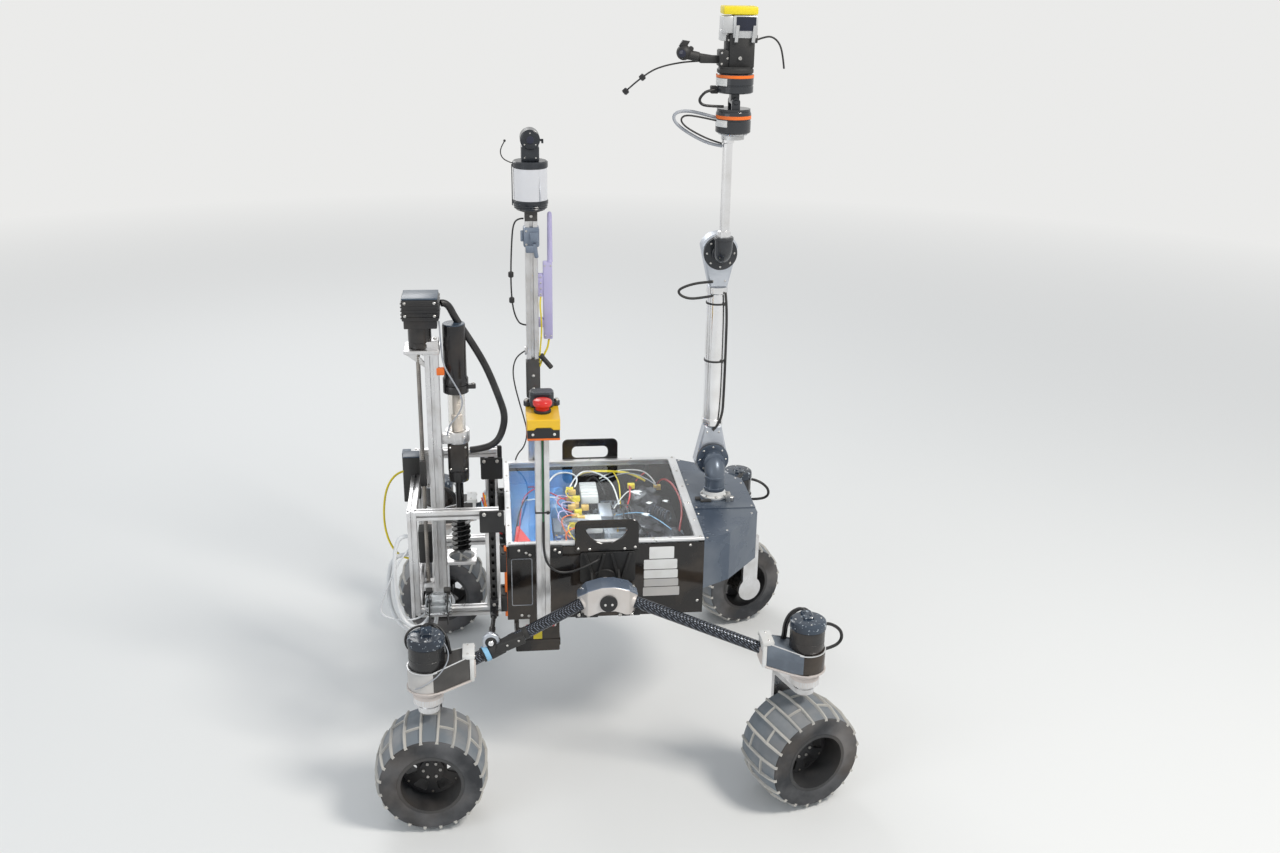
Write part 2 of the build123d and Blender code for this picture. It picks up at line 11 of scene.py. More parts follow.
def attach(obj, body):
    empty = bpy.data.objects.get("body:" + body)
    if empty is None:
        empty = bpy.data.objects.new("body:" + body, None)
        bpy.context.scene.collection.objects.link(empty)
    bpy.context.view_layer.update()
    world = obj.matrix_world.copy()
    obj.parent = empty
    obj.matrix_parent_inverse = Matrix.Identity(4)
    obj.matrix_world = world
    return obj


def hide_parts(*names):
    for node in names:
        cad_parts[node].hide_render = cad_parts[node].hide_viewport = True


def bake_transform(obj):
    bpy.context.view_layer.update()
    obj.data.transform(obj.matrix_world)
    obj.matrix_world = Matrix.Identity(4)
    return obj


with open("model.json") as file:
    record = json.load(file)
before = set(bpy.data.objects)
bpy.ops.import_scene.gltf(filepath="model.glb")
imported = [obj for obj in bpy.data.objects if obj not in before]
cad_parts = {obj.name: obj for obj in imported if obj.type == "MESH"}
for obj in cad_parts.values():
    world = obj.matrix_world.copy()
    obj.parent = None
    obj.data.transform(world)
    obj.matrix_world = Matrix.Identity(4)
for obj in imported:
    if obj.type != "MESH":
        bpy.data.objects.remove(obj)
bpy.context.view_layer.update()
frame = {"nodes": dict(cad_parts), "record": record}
nodes = frame["nodes"]
print("frame loaded", len(nodes), "nodes")

# Surface finishes: fresh and worn colour, roughness low and high, grain and its depth, then what only
# some have: metal, dust on top, print layers, twill weave or pale specks
printLayers = 700


def surface(colour, worn, rough, grain, depth, **extra):
    return {"colour": colour, "worn": worn, "rough": rough, "grain": grain, "depth": depth, **extra}


finishes = {
    "tread": surface((0.19, 0.215, 0.24), (0.31, 0.32, 0.33), (0.8, 0.95), 90, 0.5, dust=0.12),
    "treadEdge": surface((0.54, 0.52, 0.48), (0.38, 0.37, 0.35), (0.8, 0.95), 90, 0.4),
    # sidewall: its near-black, darker than the tread of the same tyre, is painted shade on the tyre's sides
    "sidewall": surface((0.026, 0.028, 0.032), (0.15, 0.15, 0.155), (0.6, 0.9), 60, 0.5, dust=0.08),
    "wheel_black": surface((0.016, 0.017, 0.020), (0.07, 0.07, 0.07), (0.35, 0.7), 40, 0.2, dust=0.05),
    "aluminium": surface((0.74, 0.74, 0.75), (0.60, 0.59, 0.58), (0.26, 0.42), 160, 0.05, metal=1.0),
    "bare_metal": surface((0.58, 0.61, 0.66), (0.46, 0.49, 0.54), (0.28, 0.45), 120, 0.08, metal=0.85),
    "polished": surface((0.86, 0.86, 0.87), (0.72, 0.71, 0.70), (0.12, 0.24), 90, 0.02, metal=1.0),
    "steel": surface((0.66, 0.65, 0.63), (0.45, 0.44, 0.42), (0.22, 0.4), 200, 0.05, metal=1.0),
    "motor_black": surface((0.012, 0.012, 0.014), (0.035, 0.034, 0.033), (0.14, 0.32), 60, 0.08, dust=0.05),
    # carbon: the pale blue-grey second colour, laid on by the weave, is a painted sheen on the weave
    "carbon": surface(
        (0.014, 0.016, 0.020), (0.17, 0.19, 0.23), (0.14, 0.26), 60, 0.15, metal=0.45, weave=95
    ),
    "printed_grey": surface(
        (0.50, 0.49, 0.48), (0.60, 0.57, 0.54), (0.5, 0.75), 80, 0.15, layers=printLayers
    ),
    "printed_dark": surface(
        (0.055, 0.052, 0.050), (0.10, 0.095, 0.09), (0.45, 0.7), 80, 0.15, layers=printLayers
    ),
    "body_black": surface((0.010, 0.009, 0.009), (0.028, 0.022, 0.017), (0.05, 0.2), 18, 0.02, dust=0.08),
    "matt_black": surface((0.014, 0.014, 0.015), (0.035, 0.034, 0.032), (0.45, 0.65), 80, 0.08),
    "lid_silver": surface((0.78, 0.79, 0.80), (0.66, 0.66, 0.66), (0.25, 0.4), 90, 0.05, metal=0.7),
    "deck_grey": surface((0.030, 0.034, 0.040), (0.075, 0.075, 0.075), (0.25, 0.5), 60, 0.08, dust=0.12),
    "electronics": surface((0.045, 0.17, 0.42), (0.09, 0.27, 0.55), (0.3, 0.5), 60, 0.1),
    "stop_red": surface((0.68, 0.012, 0.010), (0.74, 0.05, 0.04), (0.14, 0.26), 60, 0.03),
    "stop_yellow": surface((0.86, 0.52, 0.012), (0.80, 0.50, 0.05), (0.22, 0.38), 60, 0.04),
    "orange": surface((0.86, 0.17, 0.012), (0.72, 0.16, 0.03), (0.35, 0.55), 90, 0.08),
    "yellow": surface((0.82, 0.66, 0.02), (0.70, 0.56, 0.04), (0.35, 0.5), 90, 0.05),
    "red": surface((0.62, 0.02, 0.02), (0.50, 0.03, 0.03), (0.35, 0.5), 200, 0.03),
    "green": surface((0.03, 0.14, 0.06), (0.05, 0.18, 0.08), (0.35, 0.5), 200, 0.03),
    "white": surface((0.80, 0.80, 0.79), (0.66, 0.65, 0.62), (0.4, 0.6), 90, 0.05),
    "light_blue": surface((0.28, 0.56, 0.80), (0.40, 0.62, 0.82), (0.4, 0.6), 90, 0.05),
    "blue_cap": surface((0.040, 0.062, 0.092), (0.075, 0.105, 0.145), (0.26, 0.42), 90, 0.05),
    "slate": surface((0.16, 0.20, 0.27), (0.24, 0.28, 0.34), (0.25, 0.4), 90, 0.08, metal=0.3),
    "board_blue": surface((0.02, 0.07, 0.22), (0.03, 0.11, 0.30), (0.3, 0.45), 300, 0.1),
    "gold": surface((0.80, 0.52, 0.10), (0.70, 0.45, 0.10), (0.3, 0.45), 90, 0.05, metal=0.6),
    # sensor_black: black, and its faint blue is a painted sky sheen
    "sensor_black": surface((0.016, 0.019, 0.025), (0.035, 0.040, 0.048), (0.18, 0.32), 100, 0.08),
    "sensor_window": surface((0.80, 0.81, 0.85), (0.66, 0.67, 0.72), (0.10, 0.22), 30, 0.0, metal=0.75),
    "lens": surface((0.010, 0.014, 0.030), (0.03, 0.03, 0.06), (0.02, 0.05), 30, 0.0),
    "radio_lilac": surface((0.50, 0.46, 0.72), (0.58, 0.54, 0.76), (0.5, 0.7), 80, 0.12, layers=printLayers),
    "screw_steel": surface((0.20, 0.19, 0.18), (0.38, 0.35, 0.31), (0.3, 0.5), 120, 0.1, metal=1.0),
    "arm_grey": surface((0.028, 0.031, 0.036), (0.055, 0.056, 0.060), (0.10, 0.24), 50, 0.04),
    "tool_silver": surface((0.62, 0.63, 0.64), (0.50, 0.50, 0.50), (0.28, 0.42), 90, 0.06, metal=0.8),
    "auger_black": surface((0.010, 0.010, 0.011), (0.035, 0.034, 0.034), (0.08, 0.2), 50, 0.05),
    "cable_rubber": surface((0.012, 0.012, 0.013), (0.035, 0.034, 0.034), (0.28, 0.45), 200, 0.1),
    "lid_gloss": surface((0.020, 0.028, 0.042), (0.06, 0.085, 0.12), (0.06, 0.16), 50, 0.06, specks=150),
    # Bluish grey of the front steering boxes: a painted sky reflection on dark print
    "housing_sky_sheen": surface(
        (0.13, 0.155, 0.19), (0.25, 0.29, 0.34), (0.35, 0.5), 90, 0.3, metal=0.3, layers=printLayers
    ),
    "clamp_warm": surface((0.62, 0.58, 0.55), (0.70, 0.68, 0.67), (0.3, 0.48), 110, 0.08, metal=0.35),
    "flange_pale": surface((0.66, 0.59, 0.55), (0.58, 0.53, 0.50), (0.5, 0.7), 80, 0.12, layers=printLayers),
    "satin_blue": surface((0.085, 0.11, 0.15), (0.16, 0.185, 0.22), (0.2, 0.38), 60, 0.05, metal=0.4),
    "tray_grey": surface((0.22, 0.25, 0.29), (0.32, 0.34, 0.37), (0.5, 0.7), 60, 0.1),
    "panel_blue": surface((0.06, 0.20, 0.46), (0.12, 0.30, 0.56), (0.15, 0.35), 40, 0.05),
    "plug_tan": surface((0.72, 0.47, 0.10), (0.62, 0.40, 0.12), (0.35, 0.5), 120, 0.08),
    "bag_black": surface((0.010, 0.010, 0.012), (0.05, 0.05, 0.06), (0.10, 0.22), 26, 0.6),
    "hose_white": surface((0.78, 0.79, 0.80), (0.66, 0.67, 0.68), (0.2, 0.35), 60, 0.05),
    "rubber": surface((0.016, 0.016, 0.017), (0.045, 0.043, 0.040), (0.45, 0.65), 200, 0.1),
    "cable_grey": surface((0.34, 0.36, 0.40), (0.45, 0.46, 0.48), (0.4, 0.55), 200, 0.05),
}
bumpHeight = 0.0005  # metres, at full depth
dustColour, fleckColour = (0.47, 0.34, 0.23), (0.50, 0.56, 0.62)


def show(thing):
    bpy.context.scene.collection.objects.link(thing)


def link(tree, source, target):
    tree.links.new(source, target)


def join(tree, source, output, target, entry):
    tree.links.new(source.outputs[output], target.inputs[entry])


def give(node, values):
    for name, value in values.items():
        node.inputs[name].default_value = value


def blendShaders(tree, factor, first, second):
    choose = tree.nodes.new("ShaderNodeMixShader")
    for source, socket in zip((factor, first, second), choose.inputs):
        link(tree, source, socket)
    return choose.outputs["Shader"]


def newSurface(name):
    made = bpy.data.materials.new(name)
    made.use_nodes = True
    return made, made.node_tree, made.node_tree.nodes["Principled BSDF"]


def mixColour(tree, factor, low, high):
    mix = tree.nodes.new("ShaderNodeMix")
    mix.data_type = "RGBA"
    for socket, value in (("A", low), ("B", high)):
        if isinstance(value, tuple):
            mix.inputs[socket].default_value = (*value, 1)
        else:
            link(tree, value, mix.inputs[socket])
    link(tree, factor, mix.inputs["Factor"])
    return mix.outputs["Result"]


def span(tree, value, low, high, toLow=0.0, toHigh=1.0):
    made = tree.nodes.new("ShaderNodeMapRange")
    give(made, {"From Min": low, "From Max": high, "To Min": toLow, "To Max": toHigh})
    link(tree, value, made.inputs["Value"])
    return made.outputs["Result"]


def noise(tree, place, scale, detail=2):
    made = tree.nodes.new("ShaderNodeTexNoise")
    give(made, {"Scale": scale, "Detail": detail})
    link(tree, place, made.inputs["Vector"])
    return made.outputs["Fac"]


def wave(tree, place, direction, scale):
    made = tree.nodes.new("ShaderNodeTexWave")
    made.bands_direction = direction
    made.inputs["Scale"].default_value = scale
    link(tree, place, made.inputs["Vector"])
    return made.outputs["Fac"]


def combine(tree, operation, first, second):
    made = tree.nodes.new("ShaderNodeMath")
    made.operation = operation
    for socket, value in zip(made.inputs, (first, second)):
        if isinstance(value, (int, float)):
            socket.default_value = value
        else:
            link(tree, value, socket)
    return made.outputs["Value"]


def makeFinish(name, row):
    made, tree, shader = newSurface(name)
    place = tree.nodes.new("ShaderNodeTexCoord").outputs["Object"]
    wear = noise(tree, place, row["grain"] / 6, 8)  # broad patches of wear
    height = noise(tree, place, row["grain"] * 12)  # the fine surface
    pattern = span(tree, wear, 0.42, 0.72)
    # For carbon, the pale second colour that the weave mixes in is a painted sheen, not wear
    if "weave" in row:  # twill: two slanted sets of bands
        lean = tree.nodes.new("ShaderNodeMapping")
        lean.inputs["Rotation"].default_value = (0, 0, math.pi / 2)
        link(tree, place, lean.inputs["Vector"])
        over = wave(tree, place, "DIAGONAL", row["weave"])
        under = wave(tree, lean.outputs["Vector"], "DIAGONAL", row["weave"])
        pattern = combine(tree, "MULTIPLY", span(tree, over, 0.3, 0.7), span(tree, under, 0.3, 0.7))
        height = combine(tree, "ADD", over, under)
    if "layers" in row:  # print layers lie level
        height = combine(tree, "ADD", height, wave(tree, place, "Z", row["layers"]))
    colour = mixColour(tree, pattern, row["colour"], row["worn"])
    if "specks" in row:  # pale chips and short scratches
        fleck = span(tree, noise(tree, place, row["specks"], 4), 0.62, 0.68)
        colour = mixColour(tree, fleck, colour, fleckColour)
    rough = span(tree, wear, 0.3, 0.7, *row["rough"])
    if "dust" in row:
        dust = span(tree, noise(tree, place, 9, 10), 0.45, 0.75, 0.0, row["dust"] * 1.6)
        colour = mixColour(tree, dust, colour, dustColour)
        rough = combine(tree, "MAXIMUM", rough, dust)
    link(tree, colour, shader.inputs["Base Color"])
    link(tree, rough, shader.inputs["Roughness"])
    give(shader, {"Metallic": row.get("metal", 0.0)})
    bump = tree.nodes.new("ShaderNodeBump")
    give(bump, {"Strength": row["depth"], "Distance": bumpHeight})
    link(tree, height, bump.inputs["Height"])
    join(tree, bump, "Normal", shader, "Normal")
    return made


def makeClear(name, tint, rough, bend):
    made, tree, shader = newSurface(name)
    give(shader, {"Base Color": (*tint, 1), "Transmission Weight": 1.0, "IOR": bend, "Roughness": rough})
    # Lamps shine through the sheet as through a window
    through, path = tree.nodes.new("ShaderNodeBsdfTransparent"), tree.nodes.new("ShaderNodeLightPath")
    give(through, {"Color": (*tint, 1)})
    shown = blendShaders(tree, path.outputs["Is Shadow Ray"], shader.outputs["BSDF"], through.outputs["BSDF"])
    link(tree, shown, tree.nodes["Material Output"].inputs["Surface"])
    return made


materials = {name: makeFinish(name, row) for name, row in finishes.items()}
# Clear finishes: tint, roughness and how much they bend light
for name, *row in (
    ("clear_sheet", (0.93, 0.97, 1.0), 0.02, 1.22), ("clear_tan", (0.93, 0.91, 0.88), 0.12, 1.3),
    ("clear_box", (0.90, 0.94, 0.97), 0.05, 1.3)
):
    materials[name] = makeClear(name, *row)

# Nodes whose finish differs from their slot's
ownFinish = {
    "tube_joints": "bare_metal", "drill_tube": "clear_tan", "front_deck": "satin_blue",
    "arm_turret": "satin_blue", "arm_housings": "bare_metal", "upper_arm_tube": "polished",
    "forearm_tube": "polished", "arm_base": "white",
}
for part in frame["record"]["subparts"]:
    node = nodes[part["node"]]
    node.data.materials.clear()
    node.data.materials.append(materials[ownFinish.get(part["node"], part["material_slot"])])
slots = {row["slot"] for row in frame["record"]["materials"]}
print("finishes", len(materials))

# Everything below is drawn in millimetres and becomes metres as it is finished
mm = 0.001
up, right, left, front = (0, 0, 1), (0, -1, 0), (0, 1, 0), (1, 0, 0)

# Standing drawing planes: local X and Y lie on the face, local Z points out of it
mirrored = Matrix.Diagonal((1, -1, 1, 1))
onRight = Matrix(((1, 0, 0, 0), (0, 0, -1, 0), (0, 1, 0, 0), (0, 0, 0, 1)))
onLeft = mirrored @ onRight
onWeb = Matrix(((0, 0, 1, 0), (-1, 0, 0, 0), (0, 1, 0, 0), (0, 0, 0, 1)))


def blanks(count):
    return [bmesh.new() for _ in range(count)]


def addPart(bm, part, place=None):
    if place is not None:
        part.transform(place)
    mesh = bpy.data.meshes.new("part")
    part.to_mesh(mesh)
    part.free()
    bm.from_mesh(mesh)
    bpy.data.meshes.remove(mesh)


def addBox(bm, low, high, edge=1.0, place=None):
    low, high = Vector(low), Vector(high)
    part = bmesh.new()
    size = Matrix.Diagonal((*(high - low), 1))
    bmesh.ops.create_cube(part, size=1, matrix=Matrix.Translation((low + high) / 2) @ size)
    edge = min(edge, *[(h - l) / 3 for l, h in zip(low, high)])
    bmesh.ops.bevel(part, geom=part.edges[:], offset=edge, segments=2, profile=0.5, affect="EDGES")
    addPart(bm, part, place)


def along(start, end):
    start, end = Vector(start), Vector(end)
    return Matrix.Translation(start) @ (end - start).to_track_quat("Z", "Y").to_matrix().to_4x4()


def addTurned(bm, profile, start, end, sides=40, closed=False):
    # profile: distance from the start and radius; a closed one is the section of a ring
    part = bmesh.new()
    rings = []
    for height, radius in profile:
        turns = [2 * math.pi * n / sides for n in range(sides)]
        spots = [
            (radius * math.cos(t), radius * math.sin(t), height) for t in turns
        ] if radius else [(0, 0, height)]
        rings.append([part.verts.new(spot) for spot in spots])
    for here, there in zip(rings, rings[1:] + rings[:1] if closed else rings[1:]):
        for n in range(sides):
            after = (n + 1) % sides
            if len(here) == 1:
                part.faces.new((here[0], there[after], there[n]))
            elif len(there) == 1:
                part.faces.new((here[n], here[after], there[0]))
            else:
                part.faces.new((here[n], here[after], there[after], there[n]))
    if not closed:
        for ring in (rings[0], rings[-1]):
            if len(ring) > 1:
                part.faces.new(ring)
    addPart(bm, part, along(start, end))


def addUpright(bm, profile, x, y, sides, closed=False):
    # Turned about a standing line, so that the profile's distances are heights
    addTurned(bm, profile, (x, y, 0), (x, y, 1), sides, closed)


def addRod(bm, start, end, radius, edge=1.0, sides=32):
    length = (Vector(end) - Vector(start)).length
    edge = min(edge, length / 3, radius / 3)
    profile = [(0, radius - edge), (edge, radius), (length - edge, radius), (length, radius - edge)]
    addTurned(bm, profile, start, end, sides)


def addRing(bm, middle, axis, radius, thick, sides=40):
    steps = [2 * math.pi * n / 10 for n in range(10)]
    profile = [(thick * math.sin(t), radius + thick * math.cos(t)) for t in steps]
    addTurned(bm, profile, middle, Vector(middle) + Vector(axis), sides, closed=True)


def addBall(bm, middle, radius, sides=24):
    steps = [math.pi * n / 12 for n in range(13)]
    profile = [
        (-radius * math.cos(t), 0 if n in (0, 12) else radius * math.sin(t)) for n, t in enumerate(steps)
    ]
    addTurned(bm, profile, middle, Vector(middle) + Vector(up), sides)


def trim(part, spot, away):
    # Cut off what lies past a slanted plane and close the cut
    everything = part.verts[:] + part.edges[:] + part.faces[:]
    made = bmesh.ops.bisect_plane(part, geom=everything, plane_co=spot, plane_no=away, clear_outer=True)
    rim = [item for item in made["geom_cut"] if isinstance(item, bmesh.types.BMEdge)]
    bmesh.ops.contextual_create(part, geom=rim)


def addPlate(bm, loops, low, high, edge=0.8, place=None, cuts=()):
    # loops: the outline, then its holes, in local X and Y, pushed from low to high; cuts: place and direction
    part = bmesh.new()
    rims = []
    for height in (low, high):
        rings = [[part.verts.new((x, y, height)) for x, y in loop] for loop in loops]
        if len(loops) == 1:
            part.faces.new(rings[0])
        else:
            edges = [part.edges.new(pair) for ring in rings for pair in zip(ring, ring[1:] + ring[:1])]
            bmesh.ops.triangle_fill(part, edges=edges, use_beauty=True)
        rims.append(rings)
    for lowRing, highRing in zip(*rims):
        for n, spot in enumerate(lowRing):
            after = (n + 1) % len(lowRing)
            part.faces.new((spot, lowRing[after], highRing[after], highRing[n]))
    bmesh.ops.recalc_face_normals(part, faces=part.faces[:])
    for spot, away in cuts:
        trim(part, spot, away)
    if edge:
        least = 0.3 if cuts else 1
        level = lambda e: abs(e.verts[0].co.z - e.verts[1].co.z) < 1e-6
        turned = [e for e in part.edges if e.calc_face_angle(0) > least and (cuts or level(e))]
        bmesh.ops.bevel(part, geom=turned, offset=edge, segments=1, affect="EDGES")
    addPart(bm, part, place)


def arc(x, y, radius, start, end, steps=6):
    turns = [math.radians(start + (end - start) * n / steps) for n in range(steps + 1)]
    return [(x + radius * math.cos(t), y + radius * math.sin(t)) for t in turns]


def rounded(x, y, radius, steps=5):
    points = []
    for cx, cy, start in (
        (x[1] - radius, y[1] - radius, 0), (x[0] + radius, y[1] - radius, 90),
        (x[0] + radius, y[0] + radius, 180), (x[1] - radius, y[0] + radius, 270)
    ):
        points += arc(cx, cy, radius, start, start + 90, steps)
    return points


def ring(x, y, radius, sides):
    turns = [2 * math.pi * n / sides for n in range(sides)]
    return [(x + radius * math.cos(t), y + radius * math.sin(t)) for t in turns]


def smoothLine(points, radius=0, sides=3):
    # A curve near the points, as its middle line or as a tube
    curve = bpy.data.curves.new("line", "CURVE")
    curve.dimensions = "3D"
    spline = curve.splines.new("NURBS")
    spline.points.add(len(points) - 1)
    for n, point in enumerate(points):
        spline.points[n].co = (*point, 1)
    spline.order_u = 3
    spline.use_endpoint_u = True
    curve.resolution_u = 6
    curve.bevel_depth = radius
    curve.bevel_resolution = sides
    curve.use_fill_caps = True
    holder = bpy.data.objects.new("line", curve)
    show(holder)
    bpy.context.view_layer.update()
    graph = bpy.context.evaluated_depsgraph_get()
    mesh = bpy.data.meshes.new_from_object(holder.evaluated_get(graph), depsgraph=graph)
    bpy.data.objects.remove(holder)
    bpy.data.curves.remove(curve)
    return mesh


def addWire(bm, points, radius, sides=2):
    mesh = smoothLine(points, radius, sides)
    bm.from_mesh(mesh)
    bpy.data.meshes.remove(mesh)


def addMirror(bm):
    # The same again on the rover's left
    addPart(bm, bm.copy(), mirrored)


def finishMesh(name, mesh, finish, body, replaced=(), corner=35):
    bm = bmesh.new()
    bm.from_mesh(mesh)
    bmesh.ops.recalc_face_normals(bm, faces=bm.faces[:])
    for face in bm.faces:
        face.smooth = True
    for edge in bm.edges:
        edge.smooth = edge.calc_face_angle(0) < math.radians(corner)
    bm.transform(Matrix.Diagonal((mm, mm, mm, 1)))
    bm.to_mesh(mesh)
    bm.free()
    mesh.materials.clear()
    mesh.materials.append(materials[finish])
    piece = bpy.data.objects.new(name, mesh)
    show(piece)
    if replaced:
        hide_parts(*replaced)
    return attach(piece, body)


def finishPiece(name, bm, finish, body="chassis", replaced=(), corner=35):
    mesh = bpy.data.meshes.new(name)
    bm.to_mesh(mesh)
    bm.free()
    return finishMesh(name, mesh, finish, body, replaced, corner)


def finishBoxes(name, finish, *rows, body="chassis", replaced=()):
    # A piece of nothing but boxes: low corner, high corner and edge
    bm = bmesh.new()
    for row in rows:
        addBox(bm, *row)
    finishPiece(name, bm, finish, body, replaced)


# Geometry Nodes: one shape set on many points, each with its own direction and size
def addSocket(tree, name, kind, way="INPUT"):
    return tree.interface.new_socket(name, in_out=way, socket_type=kind)


def closeTree(tree, start, end, instances):
    real, paint = tree.nodes.new("GeometryNodeRealizeInstances"), tree.nodes.new("GeometryNodeSetMaterial")
    link(tree, instances, real.inputs["Geometry"])
    join(tree, real, "Geometry", paint, "Geometry")
    join(tree, start, "Finish", paint, "Material")
    join(tree, paint, "Geometry", end, "Geometry")


def openTree(name, inputs):
    tree = bpy.data.node_groups.new(name, "GeometryNodeTree")
    for socket, kind in (
        ("Geometry", "NodeSocketGeometry"), ("Shape", "NodeSocketObject"), *inputs,
        ("Finish", "NodeSocketMaterial")
    ):
        addSocket(tree, socket, kind)
    addSocket(tree, "Geometry", "NodeSocketGeometry", "OUTPUT")
    start, end = tree.nodes.new("NodeGroupInput"), tree.nodes.new("NodeGroupOutput")
    shape = tree.nodes.new("GeometryNodeObjectInfo")
    join(tree, start, "Shape", shape, "Object")
    put = tree.nodes.new("GeometryNodeInstanceOnPoints")
    join(tree, shape, "Geometry", put, "Instance")
    return tree, start, end, put


def makeSetTree():
    tree, start, end, put = openTree("setOnPoints", [("Size", "NodeSocketFloat")])
    aim, size = tree.nodes.new(
        "GeometryNodeInputNamedAttribute"
    ), tree.nodes.new("GeometryNodeInputNamedAttribute")
    for node, name in ((aim, "aim"), (size, "size")):
        node.data_type = "FLOAT_VECTOR"
        give(node, {"Name": name})
    turn = tree.nodes.new("FunctionNodeAlignRotationToVector")
    turn.axis = "Z"
    join(tree, aim, "Attribute", turn, "Vector")
    scale = tree.nodes.new("ShaderNodeVectorMath")
    scale.operation = "SCALE"
    join(tree, size, "Attribute", scale, "Vector")
    join(tree, start, "Size", scale, "Scale")
    join(tree, start, "Geometry", put, "Points")
    join(tree, turn, "Rotation", put, "Rotation")
    join(tree, scale, "Vector", put, "Scale")
    closeTree(tree, start, end, put.outputs["Instances"])
    return tree


def makeTreadTree():
    # Copies turned about the wheel's axis: how many, and by what share of a step the first is turned
    tree, start, end, put = openTree("treadRing", [("Count", "NodeSocketInt"), ("Lead", "NodeSocketFloat")])
    points = tree.nodes.new("GeometryNodePoints")
    join(tree, start, "Count", points, "Count")
    index = tree.nodes.new("GeometryNodeInputIndex")
    step = combine(tree, "DIVIDE", 2 * math.pi, start.outputs["Count"])
    angle = combine(
        tree, "MULTIPLY", combine(tree, "ADD", index.outputs["Index"], start.outputs["Lead"]), step
    )
    turn = tree.nodes.new("ShaderNodeCombineXYZ")
    link(tree, angle, turn.inputs["Z"])
    join(tree, points, "Points", put, "Points")
    join(tree, turn, "Vector", put, "Rotation")
    closeTree(tree, start, end, put.outputs["Instances"])
    return tree


def makeBoardTree():
    # Small parts strewn over a board's face
    tree, start, end, put = openTree(
        "boardParts", [("Spacing", "NodeSocketFloat"), ("Seed", "NodeSocketInt")]
    )
    strew = tree.nodes.new("GeometryNodeDistributePointsOnFaces")
    strew.distribute_method = "POISSON"
    join(tree, start, "Geometry", strew, "Mesh")
    join(tree, start, "Spacing", strew, "Distance Min")
    give(strew, {"Density Max": 0.02})
    join(tree, start, "Seed", strew, "Seed")
    size = tree.nodes.new("FunctionNodeRandomValue")
    size.data_type = "FLOAT_VECTOR"
    give(size, {"Min": (3, 3, 2), "Max": (11, 9, 9)})
    join(tree, start, "Seed", size, "Seed")
    join(tree, strew, "Points", put, "Points")
    join(tree, size, "Value", put, "Scale")
    closeTree(tree, start, end, put.outputs["Instances"])
    return tree


def runTree(tree, source, values):
    show(source)
    helpers = [v for v in values.values() if isinstance(v, bpy.types.Object)]
    for helper in helpers:
        show(helper)
    made = source.modifiers.new("nodes", "NODES")
    made.node_group = tree
    for item in tree.interface.items_tree:
        if item.item_type == "SOCKET" and item.in_out == "INPUT" and item.name in values:
            made[item.identifier] = values[item.name]
    bpy.context.view_layer.update()
    graph = bpy.context.evaluated_depsgraph_get()
    mesh = bpy.data.meshes.new_from_object(source.evaluated_get(graph), depsgraph=graph)
    source.modifiers.remove(made)
    bpy.data.objects.remove(source)
    for helper in helpers:
        bpy.context.scene.collection.objects.unlink(helper)
    return mesh


setTree, treadTree, boardTree = makeSetTree(), makeTreadTree(), makeBoardTree()


def shapeObject(name, bm):
    mesh = bpy.data.meshes.new(name)
    bm.to_mesh(mesh)
    bm.free()
    return bpy.data.objects.new(name, mesh)


def setShapes(name, shape, finish, body, rows, replaced=(), corner=35):
    # rows: place, direction, size as a number or as three
    mesh = bpy.data.meshes.new(name + "Points")
    mesh.from_pydata([tuple(place) for place, _, _ in rows], [], [])
    aim = mesh.attributes.new("aim", "FLOAT_VECTOR", "POINT")
    size = mesh.attributes.new("size", "FLOAT_VECTOR", "POINT")
    for n, (_, direction, measure) in enumerate(rows):
        aim.data[n].vector = Vector(direction).normalized()
        size.data[n].vector = (measure,) * 3 if isinstance(measure, (int, float)) else measure
    points = bpy.data.objects.new(name + "Points", mesh)
    result = runTree(setTree, points, {"Shape": shape, "Size": 1.0, "Finish": materials[finish]})
    return finishMesh(name, result, finish, body, replaced, corner)


# Fasteners, drawn with a radius of one
fasteners = {
    "cap": (14, [(0, 1), (0.8, 1), (0.95, 0.85), (0.95, 0.5), (0.35, 0.5), (0.35, 0)]),
    "dome": (12, [(0, 1), (0.3, 0.93), (0.55, 0.66), (0.62, 0.36), (0.3, 0.30), (0.3, 0)]),
}


def makeFastener(name):
    sides, profile = fasteners[name]
    bm = bmesh.new()
    addTurned(bm, profile, (0, 0, 0), (0, 0, 1), sides)
    return shapeObject(name, bm)


fastenerShapes = {name: makeFastener(name) for name in fasteners}
fastenerRows = defaultdict(list)


def fasten(body, kind, finish, direction, radius, *places):
    fastenerRows[body, kind, finish] += [(place, direction, radius) for place in places]


def screw(kind, direction, radius, *places):
    fasten("chassis", kind, "steel", direction, radius, *places)


def setFasteners():
    for (body, kind, finish), rows in sorted(fastenerRows.items()):
        setShapes(f"{kind}_{finish}_{body}", fastenerShapes[kind], finish, body, rows, corner=30)


# Cords: a smooth line near given points
cordNotes = []


def makeCord(name, points, diameter, finish, body="chassis", onto=None, replaced=()):
    line = [Vector(p) * mm for p in points]
    path = [v.co.copy() for v in smoothLine(line).vertices]
    length = sum((after - here).length for here, after in zip(path, path[1:]))
    tube = smoothLine(line, diameter * mm / 2)
    for face in tube.polygons:
        face.use_smooth = True
    tube.materials.clear()
    tube.materials.append(materials[finish])
    piece = bpy.data.objects.new(name, tube)
    show(piece)
    tuple(path[0])
    if onto:
        path[0]
        path[-1]
        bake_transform(piece)
    else:
        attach(piece, body)
    if replaced:
        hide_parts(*replaced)
    cordNotes.append((name, round(length, 3)))


print("makers")

# The photograph's camera, solved from the body's corners, posts and wheels, in metres and radians
photo = {
    "place": (-0.2476, -2.8192, 1.7858), "yaw": 0.1308, "pitch": 0.3691, "roll": 0.0217,
    "focal": 1304.2, "middle": (656.6, 443.6), "width": 1280, "height": 853,
}


